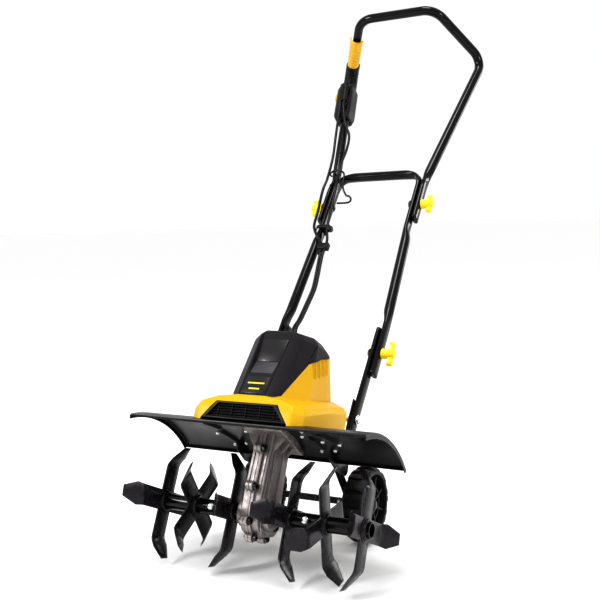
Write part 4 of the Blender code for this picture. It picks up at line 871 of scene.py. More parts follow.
def body_rings(inset=0.0):
    def level(flat, heights):
        half = []
        for (x, y), z in zip(flat, heights):
            half.append((x - inset, y - math.copysign(inset, y - 0.01), z))
        return half + [(-x, y, z) for x, y, z in reversed(half)]

    low = -0.010 if inset else 0.0
    rings = [level(BODY_BASE, [low + 0.105] * 4 + [low + 0.117, low + 0.122])]
    rings.append(level(BODY_BASE, [z - inset for z in BASE_TOP]))
    rings.append(level(BODY_EDGE, [z - inset for z in EDGE_TOP]))
    rings.append(level(BODY_SHELF, [shoulder_z(y, 0.164) - inset for x, y in BODY_SHELF]))
    rings.append(level(TOWER_FOOT, [shoulder_z(y, 0.168, 0.18) - inset for x, y in TOWER_FOOT]))
    rings.append(level(TOWER_TOP, (0.2836 - inset, 0.2770 - inset, 0.2790 - inset, 0.2790 - inset,
                                   0.2770 - inset, 0.2770 - inset)))
    rings.append(level(CROWN, (0.2925 - inset, 0.2895 - inset, 0.2925 - inset, 0.2915 - inset,
                               0.2885 - inset, 0.2885 - inset)))
    return rings


FRONT_FOOT = Vector((0, -0.0925, 0.1694))
FRONT_UP = Vector((0, 0.343, 0.939)).normalized()
FRONT_OUT = Vector((0, -0.939, 0.343)).normalized()


def on_front(x, up, out):
    """A point by the hood's front plane: across, up along it, and out from it."""
    return Vector((x, 0, 0)) + FRONT_FOOT + FRONT_UP * up + FRONT_OUT * out


def front_solid(name, stations, draft=0.0):
    """A solid on the hood's front from (up, half width, inner, outer) stations."""
    rings = []
    for up, half, inner, outer in stations:
        wide = half + (outer - inner) * draft
        rings.append([on_front(-half, up, inner), on_front(half, up, inner), on_front(wide, up, outer),
                      on_front(-wide, up, outer)])
    return loft(name, rings)


def hood_region(name, shift):
    line = [(y, z + shift) for y, z in HOOD_LINE]
    return outline(name, line + [(0.120, 0.36), (-0.150, 0.36)], 0.4)


def shell(name, edge, wall=0.0028, room_back=0.0):
    obj = loft(name, body_rings())
    bevelled(obj, edge, 4, 14)
    return boolean(obj, moved(loft("room", body_rings(wall)), Matrix.Translation((0, room_back, 0))))


def vent_scoop(sign, index):
    """A soft upright scoop in the tower's flank, just under the hood's edge."""
    middle = Vector((sign * 0.0622, -0.0130 + 0.0138 * index, 0.2335 + 0.0060 * index))
    offsets = ((0.0, 0.0030, -0.0110), (0.0, 0.0022, -0.0040), (0.0, -0.0002, 0.0040),
               (sign * -0.0008, -0.0046, 0.0120), (sign * -0.0014, -0.0110, 0.0210))
    return sweep("scoop", smooth_path([middle + Vector(step) for step in offsets], 0.0025), 0.0062, 28)


def motor_housing():
    body = shell("housing", 0.0020, 0.0046)
    cuts = [hood_region("hood_room", -0.0006), below_guard("guard_room")]
    low, high, bottom, top = GRILLE
    grow = 0.0008
    opening = [(-low - grow, bottom - 0.02), (low + grow, bottom - 0.02), (low + grow, bottom - grow),
               (high + grow, top + grow), (-high - grow, top + grow), (-low - grow, bottom - grow)]
    cuts.append(outline("grille_room", opening, 0.045, "XZ", -0.1075))
    cuts += [vent_scoop(sign, index) for index in range(4) for _, sign in SIDES]
    boolean(body, *cuts)
    piece(body, "motor_housing_shell", YELLOW, "machine", ["motor_housing"], 32)


def top_cover():
    hood = shell("hood", 0.0016, 0.0050, 0.0030)
    boolean(hood, hood_region("zone", 0.0), operation="INTERSECT")
    recess = front_solid("recess", ((0.0405, 0.0208, 0.0001, 0.0100), (0.0425, 0.0208, -0.0008, 0.0100),
                                    (0.0700, 0.0214, -0.0062, 0.0100), (0.1135, 0.0246, -0.0030, 0.0100),
                                    (0.1300, 0.0262, -0.0010, 0.0100)), 0.5)
    boolean(hood, recess)
    for _, sign in SIDES:
        rings = []
        for up, half in ((-0.003, 0.0236), (0.1240, 0.0283)):
            corners = ((half - 0.0006, -0.0012), (half + 0.0006, -0.0012), (half + 0.0006, 0.01),
                       (half - 0.0006, 0.01))
            rings.append([Vector((sign * x, 0, 0)) + on_front(0, up, out) for x, out in corners])
        boolean(hood, loft("groove", rings))
    seam = [(-0.0330, 0.2350), (-0.0320, 0.2350), (-0.0010, 0.3000), (-0.0025, 0.3000)]
    boolean(hood, outline("seam", seam, 0.16))
    piece(hood, "hood_shell", HOOD, "machine", ["top_cover"], 30)
    panel = front_solid("panel", ((0.0705, 0.0209, -0.0068, -0.0056), (0.1130, 0.0242, -0.0036, -0.0024)))
    bevelled(panel, 0.0005, 2)
    piece(panel, "hood_gloss_panel", HOOD_PANEL, "machine")
    # A thin plate over the scoop ledge, painted lighter grey as a painted highlight of the top light on it
    ledge = front_solid("ledge", ((0.0437, 0.0202, -0.0030, -0.0007), (0.0695, 0.0208, -0.0074, -0.0057)))
    bevelled(ledge, 0.0004, 2)
    piece(ledge, "hood_scoop_ledge", LEDGE_PAINTED_HIGHLIGHT, "machine")
    plate = front_solid("plate", ((0.0035, 0.0218, -0.0006, 0.0006), (0.0355, 0.0196, -0.0006, 0.0006)))
    bevelled(plate, 0.0005, 2)
    piece(plate, "blank_name_plate", HOOD_PANEL, "machine")
    bars = [front_solid("stripe", ((low, half, 0.0004, 0.0009), (high, half, 0.0004, 0.0009)))
            for low, high, half in ((0.0215, 0.0242, 0.0150), (0.0110, 0.0137, 0.0095))]
    stripes = joined(*bars)
    piece(stripes, "plain_plate_stripes", GOLD_PRINT, "machine")


GRILLE = (0.0760, 0.0540, 0.1265, 0.1545)   # bottom and top half widths, bottom and top heights


def front_grille():
    low, high, bottom, top = GRILLE
    frame_shape = [(-low, bottom), (low, bottom), (high, top), (-high, top)]
    body = bevelled(outline("grille", frame_shape, 0.0100, "XZ", -0.0995), 0.0012, 3, 30)
    inset = [(-low + 0.0075, bottom + 0.0028), (low - 0.0075, bottom + 0.0028), (high - 0.0045, top - 0.0026),
             (-high + 0.0045, top - 0.0026)]
    boolean(body, outline("inset", inset, 0.0100, "XZ", -0.1035))
    adds = []
    for index in range(6):
        z = bottom + 0.0040 + index * 0.0043
        share = (z - bottom) / (top - bottom)
        half = low + (high - low) * share - 0.0052
        bar = [(-0.1042, z), (-0.1030, z + 0.0014), (-0.0965, z + 0.0022), (-0.0965, z + 0.0006)]
        adds.append(bevelled(outline("bar", bar, 2 * half), 0.0003, 2, 40))
    for x in (-0.050, -0.025, 0.0, 0.025, 0.050):
        z_top = top - 0.001 if abs(x) < 0.051 else bottom + 0.012
        post = [(x - 0.0009, bottom + 0.001), (x + 0.0009, bottom + 0.001), (x + 0.0009, z_top),
                (x - 0.0009, z_top)]
        adds.append(outline("post", post, 0.0040, "XZ", -0.0985))
    union(body, *adds)
    boolean(body, below_guard("guard_room"))
    piece(body, "front_grille_louvres", PLASTIC, "machine", ["front_grille"], 30)


motor_housing()
top_cover()
front_grille()


# Wheels -------------------------------------------------------------------------------------
def wheel(side, sign):
    """Moulded wheel: lugged tread wrapped over both shoulders, dished disc with ribs, and a hub."""
    half = WHEEL_W / 2
    tread = [(0.0520, half - 0.0008), (0.0528, half), (0.0575, half), (0.0595, half - 0.0020),
             (0.0610, 0.0080), (0.0612, 0.0), (0.0610, -0.0080), (0.0595, 0.0020 - half), (0.0575, -half),
             (0.0528, -half), (0.0520, 0.0008 - half)]
    disc = [(0.0498, -0.0040), (0.0470, -0.0026), (0.0180, -0.0026), (0.0145, 0.0035 - half),
            (0.0125, 0.0025 - half), (0.0052, 0.0025 - half), (0.0052, half - 0.0025),
            (0.0125, half - 0.0025), (0.0145, half - 0.0035), (0.0180, 0.0026), (0.0470, 0.0026),
            (0.0498, 0.0040)]
    body = turned("wheel", tread + disc, axis="X", segments=96)
    parts = []
    lug_count = 20
    for index in range(lug_count):
        centre = 2 * math.pi * index / lug_count
        shape = ((0.0560, -half - 0.0004), (0.0598, -half - 0.0002), (0.0625, 0.0035 - half),
                 (0.0643, -0.0090), (0.0645, 0.0), (0.0643, 0.0090), (0.0625, half - 0.0035),
                 (0.0598, half + 0.0002), (0.0560, half + 0.0004), (0.0560, 0.0))
        rings = []
        for edge in (-1, 1):
            ring = []
            for radius, x in shape:
                lean = 0.055 * (abs(x) / half) * (1 if index % 2 else -1)
                angle = centre + edge * 0.083 * (1.0 if radius < 0.0600 else 0.88) + lean
                ring.append((x, radius * math.cos(angle), radius * math.sin(angle)))
            rings.append(ring)
        parts.append(bevelled(loft("lug", rings), 0.0008, 2, 40))
    for index in range(8):
        angle = 2 * math.pi * index / 8
        rib = [(0.0135, -0.0016), (0.0500, -0.0020), (0.0500, 0.0020), (0.0135, 0.0016)]
        ring_rib = outline("rib", rib, 2 * (half - 0.0045), "YZ")
        moved(ring_rib, Matrix.Rotation(angle, 4, "X"))
        parts.append(bevelled(ring_rib, 0.0008, 2, 40))
    parts.append(turned("hoop", [(0.0300, half - 0.0055), (0.0325, half - 0.0055), (0.0325, 0.0055 - half),
                                 (0.0300, 0.0055 - half)], axis="X", segments=72))
    joined(body, *parts)
    moved(body, Matrix.Translation((sign * (WHEEL_X + half), WHEEL_Y, WHEEL_Z)))
    piece(body, "transport_wheel_" + side, TYRE, side + "_wheel", ["wheel_" + side], 32)


def wheel_bracket():
    arm_line = unit2(BRACKET_PIVOT, (WHEEL_Y, WHEEL_Z))
    reach = math.dist(BRACKET_PIVOT, (WHEEL_Y, WHEEL_Z))
    heading = math.degrees(math.atan2(arm_line[1], arm_line[0]))
    tube = [(AXLE_R + GAP, ARM_X + 0.0014), (AXLE_R + 0.0016, ARM_X + 0.0014),
            (AXLE_R + 0.0016, -ARM_X - 0.0014), (AXLE_R + GAP, -ARM_X - 0.0014)]
    body = turned("bracket", tube, axis="X", centre=(0, WHEEL_Y, WHEEL_Z))
    for _, sign in SIDES:
        points = arc((WHEEL_Y, WHEEL_Z), 0.0100, heading - 90, heading + 90, 20)
        points += arc(BRACKET_PIVOT, 0.0090, heading + 90, heading + 270, 20)
        arm = bevelled(outline("arm", points, 0.003, shift=sign * ARM_X), 0.0005, 2, 50)
        holes = [rod("hole", 0.0045, 0.02, (sign * ARM_X, *BRACKET_PIVOT), "X", 32),
                 rod("bore", AXLE_R + GAP, 0.02, (sign * ARM_X, WHEEL_Y, WHEEL_Z), "X", 32)]
        mid = along(BRACKET_PIVOT, arm_line, reach * 0.52)
        holes.append(rod("slot", 0.0032, 0.02, (sign * ARM_X, *mid), "X", 32))
        boolean(arm, *holes)
        bead = turned("bead", [(AXLE_R + 0.0014, 0.0), (AXLE_R + 0.0042, 0.0), (AXLE_R + 0.0024, 0.0022),
                               (AXLE_R + 0.0014, 0.0030)], axis="X")
        on_side(bead, -sign)
        moved(bead, Matrix.Translation((sign * (ARM_X - 0.0014), WHEEL_Y, WHEEL_Z)))
        joined(body, arm, bead)
    piece(body, "wheel_bracket_arms", SATIN_BLACK, "wheel_carrier", ["wheel_bracket"])


def wheel_axle():
    half = WHEEL_X + WHEEL_W + 0.0005
    cap = [(0.0, half + 0.0022), (0.0040, half + 0.0020), (0.0072, half + 0.0008), (0.0085, half - 0.0012),
           (0.0085, half - 0.0026), (AXLE_R, half - 0.0028)]
    profile = cap + [(radius, -height) for radius, height in reversed(cap)]
    axle = turned("axle", profile, axis="X", centre=(0, WHEEL_Y, WHEEL_Z))
    piece(axle, "wheel_axle_rod", GLOSS_BLACK, "wheel_carrier", ["wheel_axle"])


for half_name, half_sign in SIDES:
    wheel(half_name, half_sign)
wheel_bracket()
wheel_axle()


# Handle tubes -------------------------------------------------------------------------------
FLAT_FADE = 0.034                  # length over which a flat fades back to a round tube


def flatten(mesh, place, direction, reach, centre_x, slope=0.0):
    """Press a tube to a flat oval round a bolt, on the side of the machine that centre_x is on."""
    sign = math.copysign(1, centre_x)
    for vertex in mesh.vertices:
        if vertex.co.x * sign < 0.05:
            continue
        dy, dz = vertex.co.y - place[0], vertex.co.z - place[1]
        run = dy * direction[0] + dz * direction[1]
        amount = min(1.0, max(0.0, (reach + FLAT_FADE - abs(run)) / FLAT_FADE))
        if not amount:
            continue
        amount = amount * amount * (3 - 2 * amount)
        middle = centre_x + sign * slope * dz
        off = max(-1.0, min(1.0, (vertex.co.x - middle) / TUBE_R))
        squared = math.copysign(abs(off) ** 0.6, off)
        pressed = centre_x + squared * FLAT_THICK / 2
        vertex.co.x += (pressed - vertex.co.x) * amount
        wider = (FLAT_WIDER - 1) * amount
        vertex.co.y += (dy - run * direction[0]) * wider
        vertex.co.z += (dz - run * direction[1]) * wider


def tube(name, path, flats, body, node):
    obj = sweep(name, spaced(path, 0.006), TUBE_R, 40)
    for flat in flats:
        flatten(obj.data, *flat)
    piece(obj, name, GLOSS_BLACK, body, [node], 40)


def handle_tubes():
    half_low = JOINT_X_LOW + JOINT_TILT
    half_up = JOINT_X_UP - JOINT_TILT
    slope = (half_up - half_low) / (UPPER_PIVOT[1] - LOWER_PIVOT[1])
    for side, sign in SIDES:
        x = sign * (JOINT_X_LOW - JOINT_TILT)
        path = [Vector((x, *along(FOOT_BOLT, low_line, -0.026))),
                Vector((x, *along(LOWER_PIVOT, low_line, 0.050)))]
        middle = ((FOOT_BOLT[0] + LOWER_PIVOT[0]) / 2, (FOOT_BOLT[1] + LOWER_PIVOT[1]) / 2)
        half_long = math.dist(FOOT_BOLT, LOWER_PIVOT) / 2
        tube("lower_tube_steel_" + side, path, [(middle, low_line, half_long + FLAT_REACH, x)],
             "machine", "lower_tube_" + side)
    low = along(LOWER_PIVOT, leg_line, -0.045)
    foot_x = half_low + slope * (low[1] - LOWER_PIVOT[1])
    corner_x = half_low + slope * (CROSSBAR[1] - LOWER_PIVOT[1])
    corners = [(foot_x, *low), (corner_x, *CROSSBAR), (-corner_x, *CROSSBAR), (-foot_x, *low)]
    flats = [(place, leg_line, FLAT_REACH, sign * half, slope)
             for place, half in ((LOWER_PIVOT, half_low), (UPPER_PIVOT, half_up)) for sign in (1, -1)]
    tube("middle_frame_tube", bent_path(corners, [0.040, 0.040], 18), flats, "frame", "middle_frame")
    low = along(UPPER_PIVOT, leg_line, -0.040)
    half = JOINT_X_UP + JOINT_TILT
    right = [(half, *low), (half, *along(UPPER_PIVOT, leg_line, 0.052)), GRIP_D_OUT, GRIP_E, GRIP_F]
    left = [(-x, y, z) for x, y, z in reversed(right)]
    path = bent_path(right + left, [0.12, 0.12, GRIP_BEND, 0.045, 0.045, GRIP_BEND, 0.12, 0.12], 14)
    tube("upper_handle_tube", path, [(UPPER_PIVOT, leg_line, FLAT_REACH, sign * half) for sign in (1, -1)],
         "handle", "upper_handle")


# Knobs, bolts and foot joints ---------------------------------------------------------------
WING_SPAN = {"lower": 0.0225, "upper": 0.0185}
BOLT_R = 0.0031


def knob(level, side, sign, place, outer, body):
    """Wing knob: round hub with a recessed face and two tapered wings with rounded ends."""
    span = WING_SPAN[level]
    hub_shape = turned("knob", [(0.0, 0.0232), (0.0048, 0.0232), (0.0054, 0.0240), (0.0068, 0.0240),
                                (0.0076, 0.0232), (0.0080, 0.0120), (0.0098, 0.0030), (0.0100, 0.0012),
                                (0.0092, 0.0003), (0.0, 0.0003)], axis="X")
    for wing in (-1, 1):
        flat = [(0.0, -0.0036), (0.0, 0.0036)] + arc((span - 0.0056, 0.0), 0.0054, 90, -90, 10)
        wing_shape = outline("wing", [(y, z) for z, y in flat], 0.0105, shift=0.0170)
        bevelled(wing_shape, 0.0019, 3, 40)
        if wing < 0:
            moved(wing_shape, Matrix.Rotation(math.pi, 4, "X"))
        union(hub_shape, wing_shape)
    on_side(hub_shape, sign)
    moved(hub_shape, Matrix.Translation((outer, *place)))
    piece(hub_shape, "%s_wing_knob_%s" % (level, side), LEMON, body,
          ["%s_knob_%s" % (level, side)], 38)


def joint_bolt(level, side, sign, place, inner, outer, body):
    """Round-headed bolt inside the tubes, its threaded end in the knob."""
    head = [(0.0, -0.0050), (0.0035, -0.0048), (0.0066, -0.0038), (0.0084, -0.0020), (0.0085, -0.0003),
            (BOLT_R, -0.0002), (BOLT_R, 0.0330), (0.0, 0.0330)]
    bolt = turned("bolt", head, axis="X", segments=48)
    on_side(bolt, sign)
    moved(bolt, Matrix.Translation((inner, *place)))
    piece(bolt, "%s_joint_bolt_%s" % (level, side), BLACK_BOLT, body,
          ["%s_bolt_%s" % (level, side)], 30)


def knobs_and_bolts():
    for side, sign in SIDES:
        for level, place, mid, body in (("lower", LOWER_PIVOT, JOINT_X_LOW, "machine"),
                                        ("upper", UPPER_PIVOT, JOINT_X_UP, "frame")):
            reach = JOINT_TILT + FLAT_THICK / 2 + 0.0004
            inner, outer = sign * (mid - reach), sign * (mid + reach)
            knob(level, side, sign, place, outer, "%s_%s_knob" % (side, level))
            joint_bolt(level, side, sign, place, inner, outer, body)


def base_joint(side, sign):
    x_plate = sign * (JOINT_X_LOW - JOINT_TILT - FLAT_THICK / 2 - 0.0004 - 0.00125)
    normal = (-low_line[1], low_line[0])
    top = along(FOOT_BOLT, low_line, 0.034)
    wide = 0.0125
    under = guard_arc(GUARD_R - GUARD_THICK - GAP, 0.040, 0.0675, 8)
    points = [along(top, normal, -wide), along(top, normal, wide)]
    points += [(0.0862, 0.1700), (0.0850, 0.1230), (0.0705, 0.1080), (0.0692, 0.1040)]
    points += under[::-1] + [(0.040, 0.1040), (0.0700, 0.0920)]
    points += arc(BRACKET_PIVOT, 0.0100, 250, 380, 18) + [(FOOT_BOLT[0] + 0.0140, 0.1600)]
    plate = bevelled(outline("plate", points, 0.0025, shift=x_plate), 0.0004, 2, 50)
    stub = rod("stub", 0.0042, 0.0140, (x_plate - sign * 0.0060, *BRACKET_PIVOT), "X", 32, chamfer=0.0004)
    union(plate, stub)
    piece(plate, "foot_plate_" + side, SATIN_BLACK, "machine",
          ["base_bracket_" + side])
    outer = JOINT_X_LOW - JOINT_TILT + FLAT_THICK / 2 + 0.0004
    inner = abs(x_plate) - 0.00125 - GAP
    screw = turned("screw", [(0.0, outer + 0.0052), (0.0038, outer + 0.0050), (0.0064, outer + 0.0036),
                             (0.0074, outer + 0.0014), (0.0076, outer + 0.0001), (BOLT_R, outer),
                             (BOLT_R, inner - 0.0060), (0.0, inner - 0.0060)], axis="X", segments=48)
    nut = rod("nut", 0.0062, 0.0042, (inner - 0.0022, 0, 0), "X", 6, chamfer=0.0004)
    washer = turned("washer", [(0.0088, outer + 0.0011), (0.0088, outer), (BOLT_R, outer),
                               (BOLT_R, outer + 0.0011)], axis="X", segments=48)
    joined(screw, nut, washer)
    on_side(screw, sign)
    moved(screw, Matrix.Translation((0, *FOOT_BOLT)))
    piece(screw, "foot_bolt_" + side, ZINC, "machine", ["base_bolt_" + side], 30)


handle_tubes()
knobs_and_bolts()
for half_name, half_sign in SIDES:
    base_joint(half_name, half_sign)


# Switch on the left grip --------------------------------------------------------------------
left_d, left_e, left_f = (Vector((-x, y, z)) for x, y, z in (GRIP_D_OUT, GRIP_E, GRIP_F))
side_dir = (left_e - left_d).normalized()
top_dir = (left_f - left_e).normalized()
SWITCH = axes_at(left_d.lerp(left_e, 0.72), side_dir, (0, 1, 0))
LEVER_START = GRIP_BEND / math.tan((-side_dir).angle(top_dir) / 2) + 0.006
LEVER_LONG = 0.075
COLLAR_R = 0.0155


def grip_path(from_side, to_top, steps=16):
    return bent_path([left_e - side_dir * from_side, left_e, left_e + top_dir * to_top], [GRIP_BEND], steps)


def switch_box():
    shape = [(-0.0235, -0.013), (-0.0165, -0.020), (0.0105, -0.020), (0.0160, -0.0145), (0.0160, 0.0145),
             (0.0105, 0.020), (-0.0165, 0.020), (-0.0235, 0.013)]

    def scaled(share_x, share_y):
        return [(x * share_x - 0.0004, y * share_y) for x, y in shape]

    levels = ((scaled(0.72, 0.78), -0.056), (scaled(0.80, 0.88), -0.0535), (shape, -0.042), (shape, 0.044),
              (scaled(0.86, 0.90), 0.0530), (scaled(0.74, 0.80), 0.056))
    body = loft("box", [[Vector((x, y, z)) for x, y in points] for points, z in levels])
    bevelled(body, 0.0026, 3, 25)
    seam = block("seam", (0.0006, 0.060, 0.130), (-0.0045, 0, 0))
    boolean(body, seam)
    well = outline("well", [(x + 0.001, z) for x, z in arc((0, 0.036), 0.0125, 0, 180, 16)
                            + arc((0, -0.034), 0.0105, 180, 360, 16)], 0.0030, "XZ", -0.0200)
    boolean(body, well)
    ring = [Vector((0.0005 + 0.0088 * math.cos(a), -0.0200, -0.0060 + 0.0225 * math.sin(a)))
            for a in [math.pi * i / 24 for i in range(49)]]
    union(body, sweep("ring", ring, 0.0015, 12))
    for z in (-0.040, 0.044):
        boolean(body, rod("screw_hole", 0.0030, 0.004, (0.0105, -0.0200, z), "Y", 20))
    moved(body, SWITCH)
    path = spaced(grip_path(0.075, LEVER_START - 0.001), 0.0025)
    radii = [COLLAR_R - (0.0007 if index % 4 == 0 else 0.0) for index in range(len(path))]
    union(body, sweep("collar", path, COLLAR_R, 48, radii=radii))
    boolean(body, sweep("bore", spaced(grip_path(0.240, 0.060), 0.006), 0.0099, 40, cap=((0, 0), (1, 0))))
    boolean(body, moved(block("pocket", (0.0120, 0.0166, 0.0206), (-0.0230, 0, 0.030)), SWITCH))
    piece(body, "switch_housing", PLASTIC, "handle", ["switch_box"], 30)
    button = block("button", (0.0090, 0.0150, 0.0190), (-0.0260, 0, 0.030), 0.0018, 3)
    for index in range(3):
        ridge = block("ridge", (0.0012, 0.0110, 0.0012), (-0.0306, 0, 0.0265 + index * 0.0035), 0.0004, 2)
        union(button, ridge)
    moved(button, SWITCH)
    piece(button, "lock_off_push_button", AMBER, "button", ["lock_off_button"])


def switch_lever():
    """Half sleeve under the grip with finger grooves, thin edges and a flared far lip."""
    frame_at = axes_at(left_e + top_dir * LEVER_START, top_dir, (0, -top_dir.z, top_dir.y))
    half_turn = [math.pi * i / 28 for i in range(29)]
    count = 76
    rings = []
    for step in range(count + 1):
        z = LEVER_LONG * step / count
        share = z / LEVER_LONG
        wide = 0.0130 + 0.0014 * share
        gap = 0.0022 + 0.0012 * share
        groove = 0.0017 * max(0.0, math.sin(2 * math.pi * z / 0.0090)) ** 0.7 if 0.008 < z < 0.054 else 0.0
        flare = 0.0022 * max(0.0, (share - 0.93) / 0.07) ** 2
        outer = []
        for a in half_turn:
            fade = min(1.0, 2.5 * math.sin(a))
            radius = wide - groove * fade + flare
            outer.append((radius * math.cos(a), radius * math.sin(a) + gap))
        inner = [((wide - 0.0026) * math.cos(a), (wide - 0.0026) * math.sin(a) + gap)
                 for a in half_turn]
        rings.append([frame_at @ Vector((x, y, z)) for x, y in outer + inner[::-1]])
    lever = loft("lever", rings)
    piece(lever, "switch_squeeze_lever", AMBER, "lever", ["switch_lever"], 40)


def cable_boot():
    """Tapered relief with moulded rings; both leads leave its lower end."""
    levels = [(-0.0140, 0.0068, 0.0040), (-0.0132, 0.0075, 0.0045)]   # (height, half width, half depth)
    for index in range(9):
        z = -0.0110 + index * 0.0042
        share = index / 8
        wide, deep = 0.0078 + 0.0016 * share, 0.0047 + 0.0010 * share
        levels += [(z, wide, deep), (z + 0.0006, wide + 0.0009, deep + 0.0008),
                   (z + 0.0021, wide + 0.0009, deep + 0.0008), (z + 0.0027, wide, deep)]
    levels += [(0.0275, 0.0095, 0.0058), (0.0285, 0.0110, 0.0066), (0.0400, 0.0112, 0.0066),
               (0.0410, 0.0100, 0.0060)]
    rings = [[SWITCH @ Vector((wide * math.cos(a) + 0.001, deep * math.sin(a) - 0.0262, z))
              for a in full_turn(40)] for z, wide, deep in levels]
    piece(loft("boot", rings), "cable_relief_boot", RUBBER, "handle", ["cable_boot"], 40)
    pair = [rod("screw", 0.0026, 0.0016, (0.0105, -0.0192, z), "Y", 24, chamfer=0.0003)
            for z in (-0.040, 0.044)]
    screws = moved(joined(*pair), SWITCH)
    piece(screws, "switch_box_screws", BLACK_BOLT, "handle")


switch_box()
switch_lever()
cable_boot()


# Leads, clip, strap and cord hook -----------------------------------------------------------
LEAD_R = 0.0028
LEAD_SPLIT = 9                     # the route point, inside the clip, where a lead's two halves meet
# Route points between the boot and the hood, as in the CAD source.
LEAD_A = ((-0.1200, 0.2706, 0.8817), (-0.1050, 0.2714, 0.8508), (-0.0990, 0.2610, 0.8089),
          (-0.0877, 0.2240, 0.7447), (-0.0847, 0.2170, 0.6898), (-0.0791, 0.2020, 0.6304),
          (-0.0735, 0.1905, 0.5853), (-0.0652, 0.1835, 0.5569), (-0.0634, 0.1720, 0.5198),
          (-0.0556, 0.1560, 0.4699), (-0.0519, 0.1460, 0.4390), (-0.0517, 0.1310, 0.4032),
          (-0.0500, 0.1120, 0.3665), (-0.0440, 0.0880, 0.3353), (-0.0320, 0.0850, 0.2900),
          (-0.0270, 0.0780, 0.2660), (-0.0260, 0.0690, 0.2610))
LEAD_B = ((-0.1345, 0.2654, 0.8547), (-0.1260, 0.2553, 0.7887), (-0.1180, 0.2339, 0.7254),
          (-0.0931, 0.1790, 0.6682), (-0.0979, 0.1836, 0.6210), (-0.1030, 0.1885, 0.5928),
          (-0.0870, 0.1800, 0.5654), (-0.0745, 0.1830, 0.5472), (-0.0704, 0.1740, 0.5198),
          (-0.0626, 0.1585, 0.4699), (-0.0589, 0.1485, 0.4390), (-0.0587, 0.1335, 0.4032),
          (-0.0570, 0.1145, 0.3665), (-0.0515, 0.0900, 0.3353), (-0.0400, 0.0850, 0.2900),
          (-0.0350, 0.0780, 0.2660), (-0.0340, 0.0690, 0.2610))


def lead_points(points, side):
    start = SWITCH @ Vector((side, -0.0262, -0.0120))
    below = SWITCH @ Vector((side, -0.0268, -0.0340))
    return [start, below] + [Vector(p) for p in points]


def leads():
    for which, points, side in (("a", LEAD_A, 0.0045), ("b", LEAD_B, -0.0035)):
        route = lead_points(points, side)
        for part, section, bodies, span in (
                ("upper", route[:LEAD_SPLIT + 1], ("frame", "handle"), (route[6], route[3])),
                ("lower", route[LEAD_SPLIT:], ("machine", "frame"), (route[-2], route[-6]))):
            whole = smooth_path(route, 0.004)
            first = min(range(len(whole)), key=lambda i: (whole[i] - section[0]).length)
            last = min(range(len(whole)), key=lambda i: (whole[i] - section[-1]).length)
            obj = sweep("lead", whole[first:last + 1], LEAD_R, 20)
            obj.data.transform(MACHINE)
            name = "supply_lead_%s_%s" % (which, part)
            piece(obj, name, RUBBER, None, ["lead_%s_%s" % (which, part)], in_world=True)
            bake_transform(obj)


def lead_clip():
    centre = (Vector(LEAD_A[7]) + Vector(LEAD_B[7])).lerp(Vector(LEAD_A[8]) + Vector(LEAD_B[8]), 0.3) / 2
    where = axes_at(centre, (0.010, 0.30, 1.0), (0, 1, 0))
    body = block("clip", (0.0240, 0.0110, 0.0150), (0, 0, 0), 0.0022, 3)
    wedge = [(-0.0110, 0.004), (0.0020, 0.004), (-0.0020, -0.0190), (-0.0075, -0.0190)]
    tail = outline("tail", wedge, 0.0075, "XZ", 0.0010)
    bevelled(tail, 0.0018, 3, 40)
    union(body, tail)
    ring_cut = block("ring_cut", (0.030, 0.02, 0.0010), (0, -0.0100, 0.0030))
    boolean(body, ring_cut)
    moved(body, where)
    piece(body, "cable_clip", PLASTIC, "frame", ["lead_clip"])


def lead_strap():
    z = 0.5900
    slope = (JOINT_X_LOW + 2 * JOINT_TILT - JOINT_X_UP) / (UPPER_PIVOT[1] - LOWER_PIVOT[1])
    leg = Vector((-(JOINT_X_LOW + JOINT_TILT) + (z - LOWER_PIVOT[1]) * slope, 0.2055, z))
    where = axes_at(leg, (slope * leg_line[1], *leg_line), (0, 1, 0))
    band = [((0.0124 if math.cos(a) > 0 else 0.0112) * math.cos(a),
             (0.0134 if math.sin(a) > 0 else 0.0150) * math.sin(a)) for a in full_turn(48)]
    body = loft("strap", [[Vector((x * k, y * k, h)) for x, y in band]
                          for h, k in ((-0.0040, 0.96), (-0.0032, 1.0), (0.0032, 1.0), (0.0040, 0.96))])
    arm = block("arm", (0.0250, 0.0080, 0.0078), (0.0120, -0.0125, 0), 0.0018, 3)
    head = rod("head", 0.0066, 0.0085, (0.0262, -0.0130, -0.0062), "X", 40, chamfer=0.0012)
    union(body, arm, head)
    hollow = [(0.0102 * math.cos(a), 0.0124 * math.sin(a)) for a in full_turn(48)]
    room = loft("room", [[Vector((x, y, h)) for x, y in hollow] for h in (-0.03, 0.03)])
    boolean(body, room, block("fold_room", (0.0150, 0.0185, 0.0120), (-0.0070, 0.0080, 0)))
    moved(body, where)
    piece(body, "cable_strap", PLASTIC, "frame", ["lead_strap"])


def cord_hook():
    path = smooth_path(((-0.1074, 0.2330, 0.7290), (-0.1131, 0.2330, 0.7350), (-0.1031, 0.2330, 0.7430),
                        (-0.0856, 0.2310, 0.7385), (-0.0765, 0.2275, 0.7280), (-0.0721, 0.2230, 0.6978),
                        (-0.0602, 0.2200, 0.6764), (-0.0522, 0.2200, 0.6732), (-0.0473, 0.2200, 0.6661),
                        (-0.0524, 0.2200, 0.6590), (-0.0778, 0.2200, 0.6583)), 0.0012)
    piece(sweep("hook", path, 0.0019, 20), "cord_hook_wire", GLOSS_BLACK, "frame",
          ["cord_hook"])


leads()
lead_clip()
lead_strap()
cord_hook()


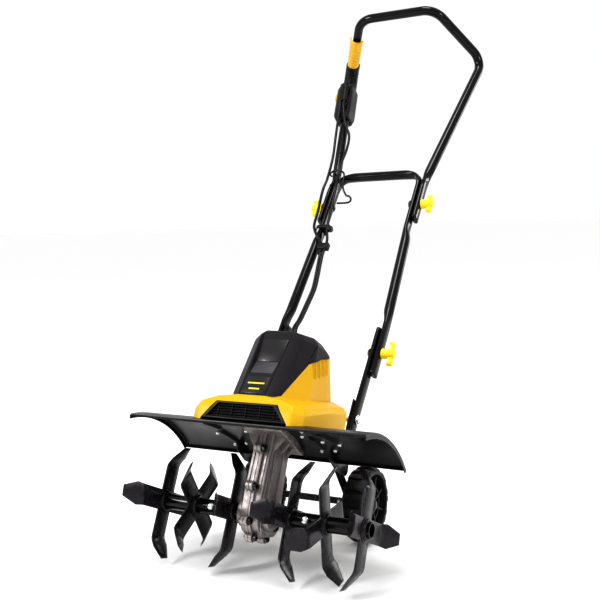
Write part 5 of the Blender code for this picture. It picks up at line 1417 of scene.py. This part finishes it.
# CAD pieces that stay, most of them inside ----------------------------------------------------
KEPT = {
    "tine_shaft": BRIGHT, "worm_shaft": BRIGHT, "worm_lower_bearing": BRIGHT, "worm_wheel": BRONZE,
    "motor_stator": BRIGHT, "motor_top_bearing": BRIGHT, "motor_armature": COPPER, "motor_base": PLASTIC,
    "motor_end_frame": PLASTIC, "cooling_fan": PLASTIC,
}
for node_name, finish_material in KEPT.items():
    node = frame["nodes"][node_name]
    node.data.materials.clear()
    node.data.materials.append(finish_material)


# Floor and light ------------------------------------------------------------------------------
FLOOR_HALF = 60
WORLD_STRENGTH = 0.70
AIM = Vector((0, 0, 0.45))
LIGHTS = (  # name, place, size and power
    ("key", (-1.7, -2.0, 2.0), 0.8, 34), ("fill", (2.6, -0.9, 1.6), 0.5, 13),
    ("rim", (1.9, 3.0, 1.0), 0.9, 12), ("top", (0.1, -0.3, 2.8), 0.9, 22),
)


def studio():
    floor_mesh = bpy.data.meshes.new("floor")
    corners = [(x * FLOOR_HALF, y * FLOOR_HALF, 0) for x, y in ((-1, -1), (1, -1), (1, 1), (-1, 1))]
    floor_mesh.from_pydata(corners, [], [(0, 1, 2, 3)])
    floor = linked("floor", floor_mesh)
    pale = bpy.data.materials.new("pale_floor")
    pale.use_nodes = True
    shader = pale.node_tree.nodes["Principled BSDF"]
    shader.inputs["Base Color"].default_value = (0.98, 0.98, 0.98, 1)
    shader.inputs["Roughness"].default_value = 0.7
    floor_mesh.materials.append(pale)
    world = bpy.data.worlds.new("studio")
    world.use_nodes = True
    background = world.node_tree.nodes["Background"]
    background.inputs["Color"].default_value = (1, 1, 1, 1)
    background.inputs["Strength"].default_value = WORLD_STRENGTH
    bpy.context.scene.world = world
    for name, place, size, power in LIGHTS:
        data = bpy.data.lights.new(name, "AREA")
        data.energy = power
        data.size = size
        light = bpy.data.objects.new(name, data)
        bpy.context.scene.collection.objects.link(light)
        light.location = place
        light.rotation_euler = (AIM - Vector(place)).to_track_quat("-Z", "Y").to_euler()
    view = bpy.context.scene.view_settings
    view.view_transform = "Standard"
    view.look = "High Contrast"


studio()
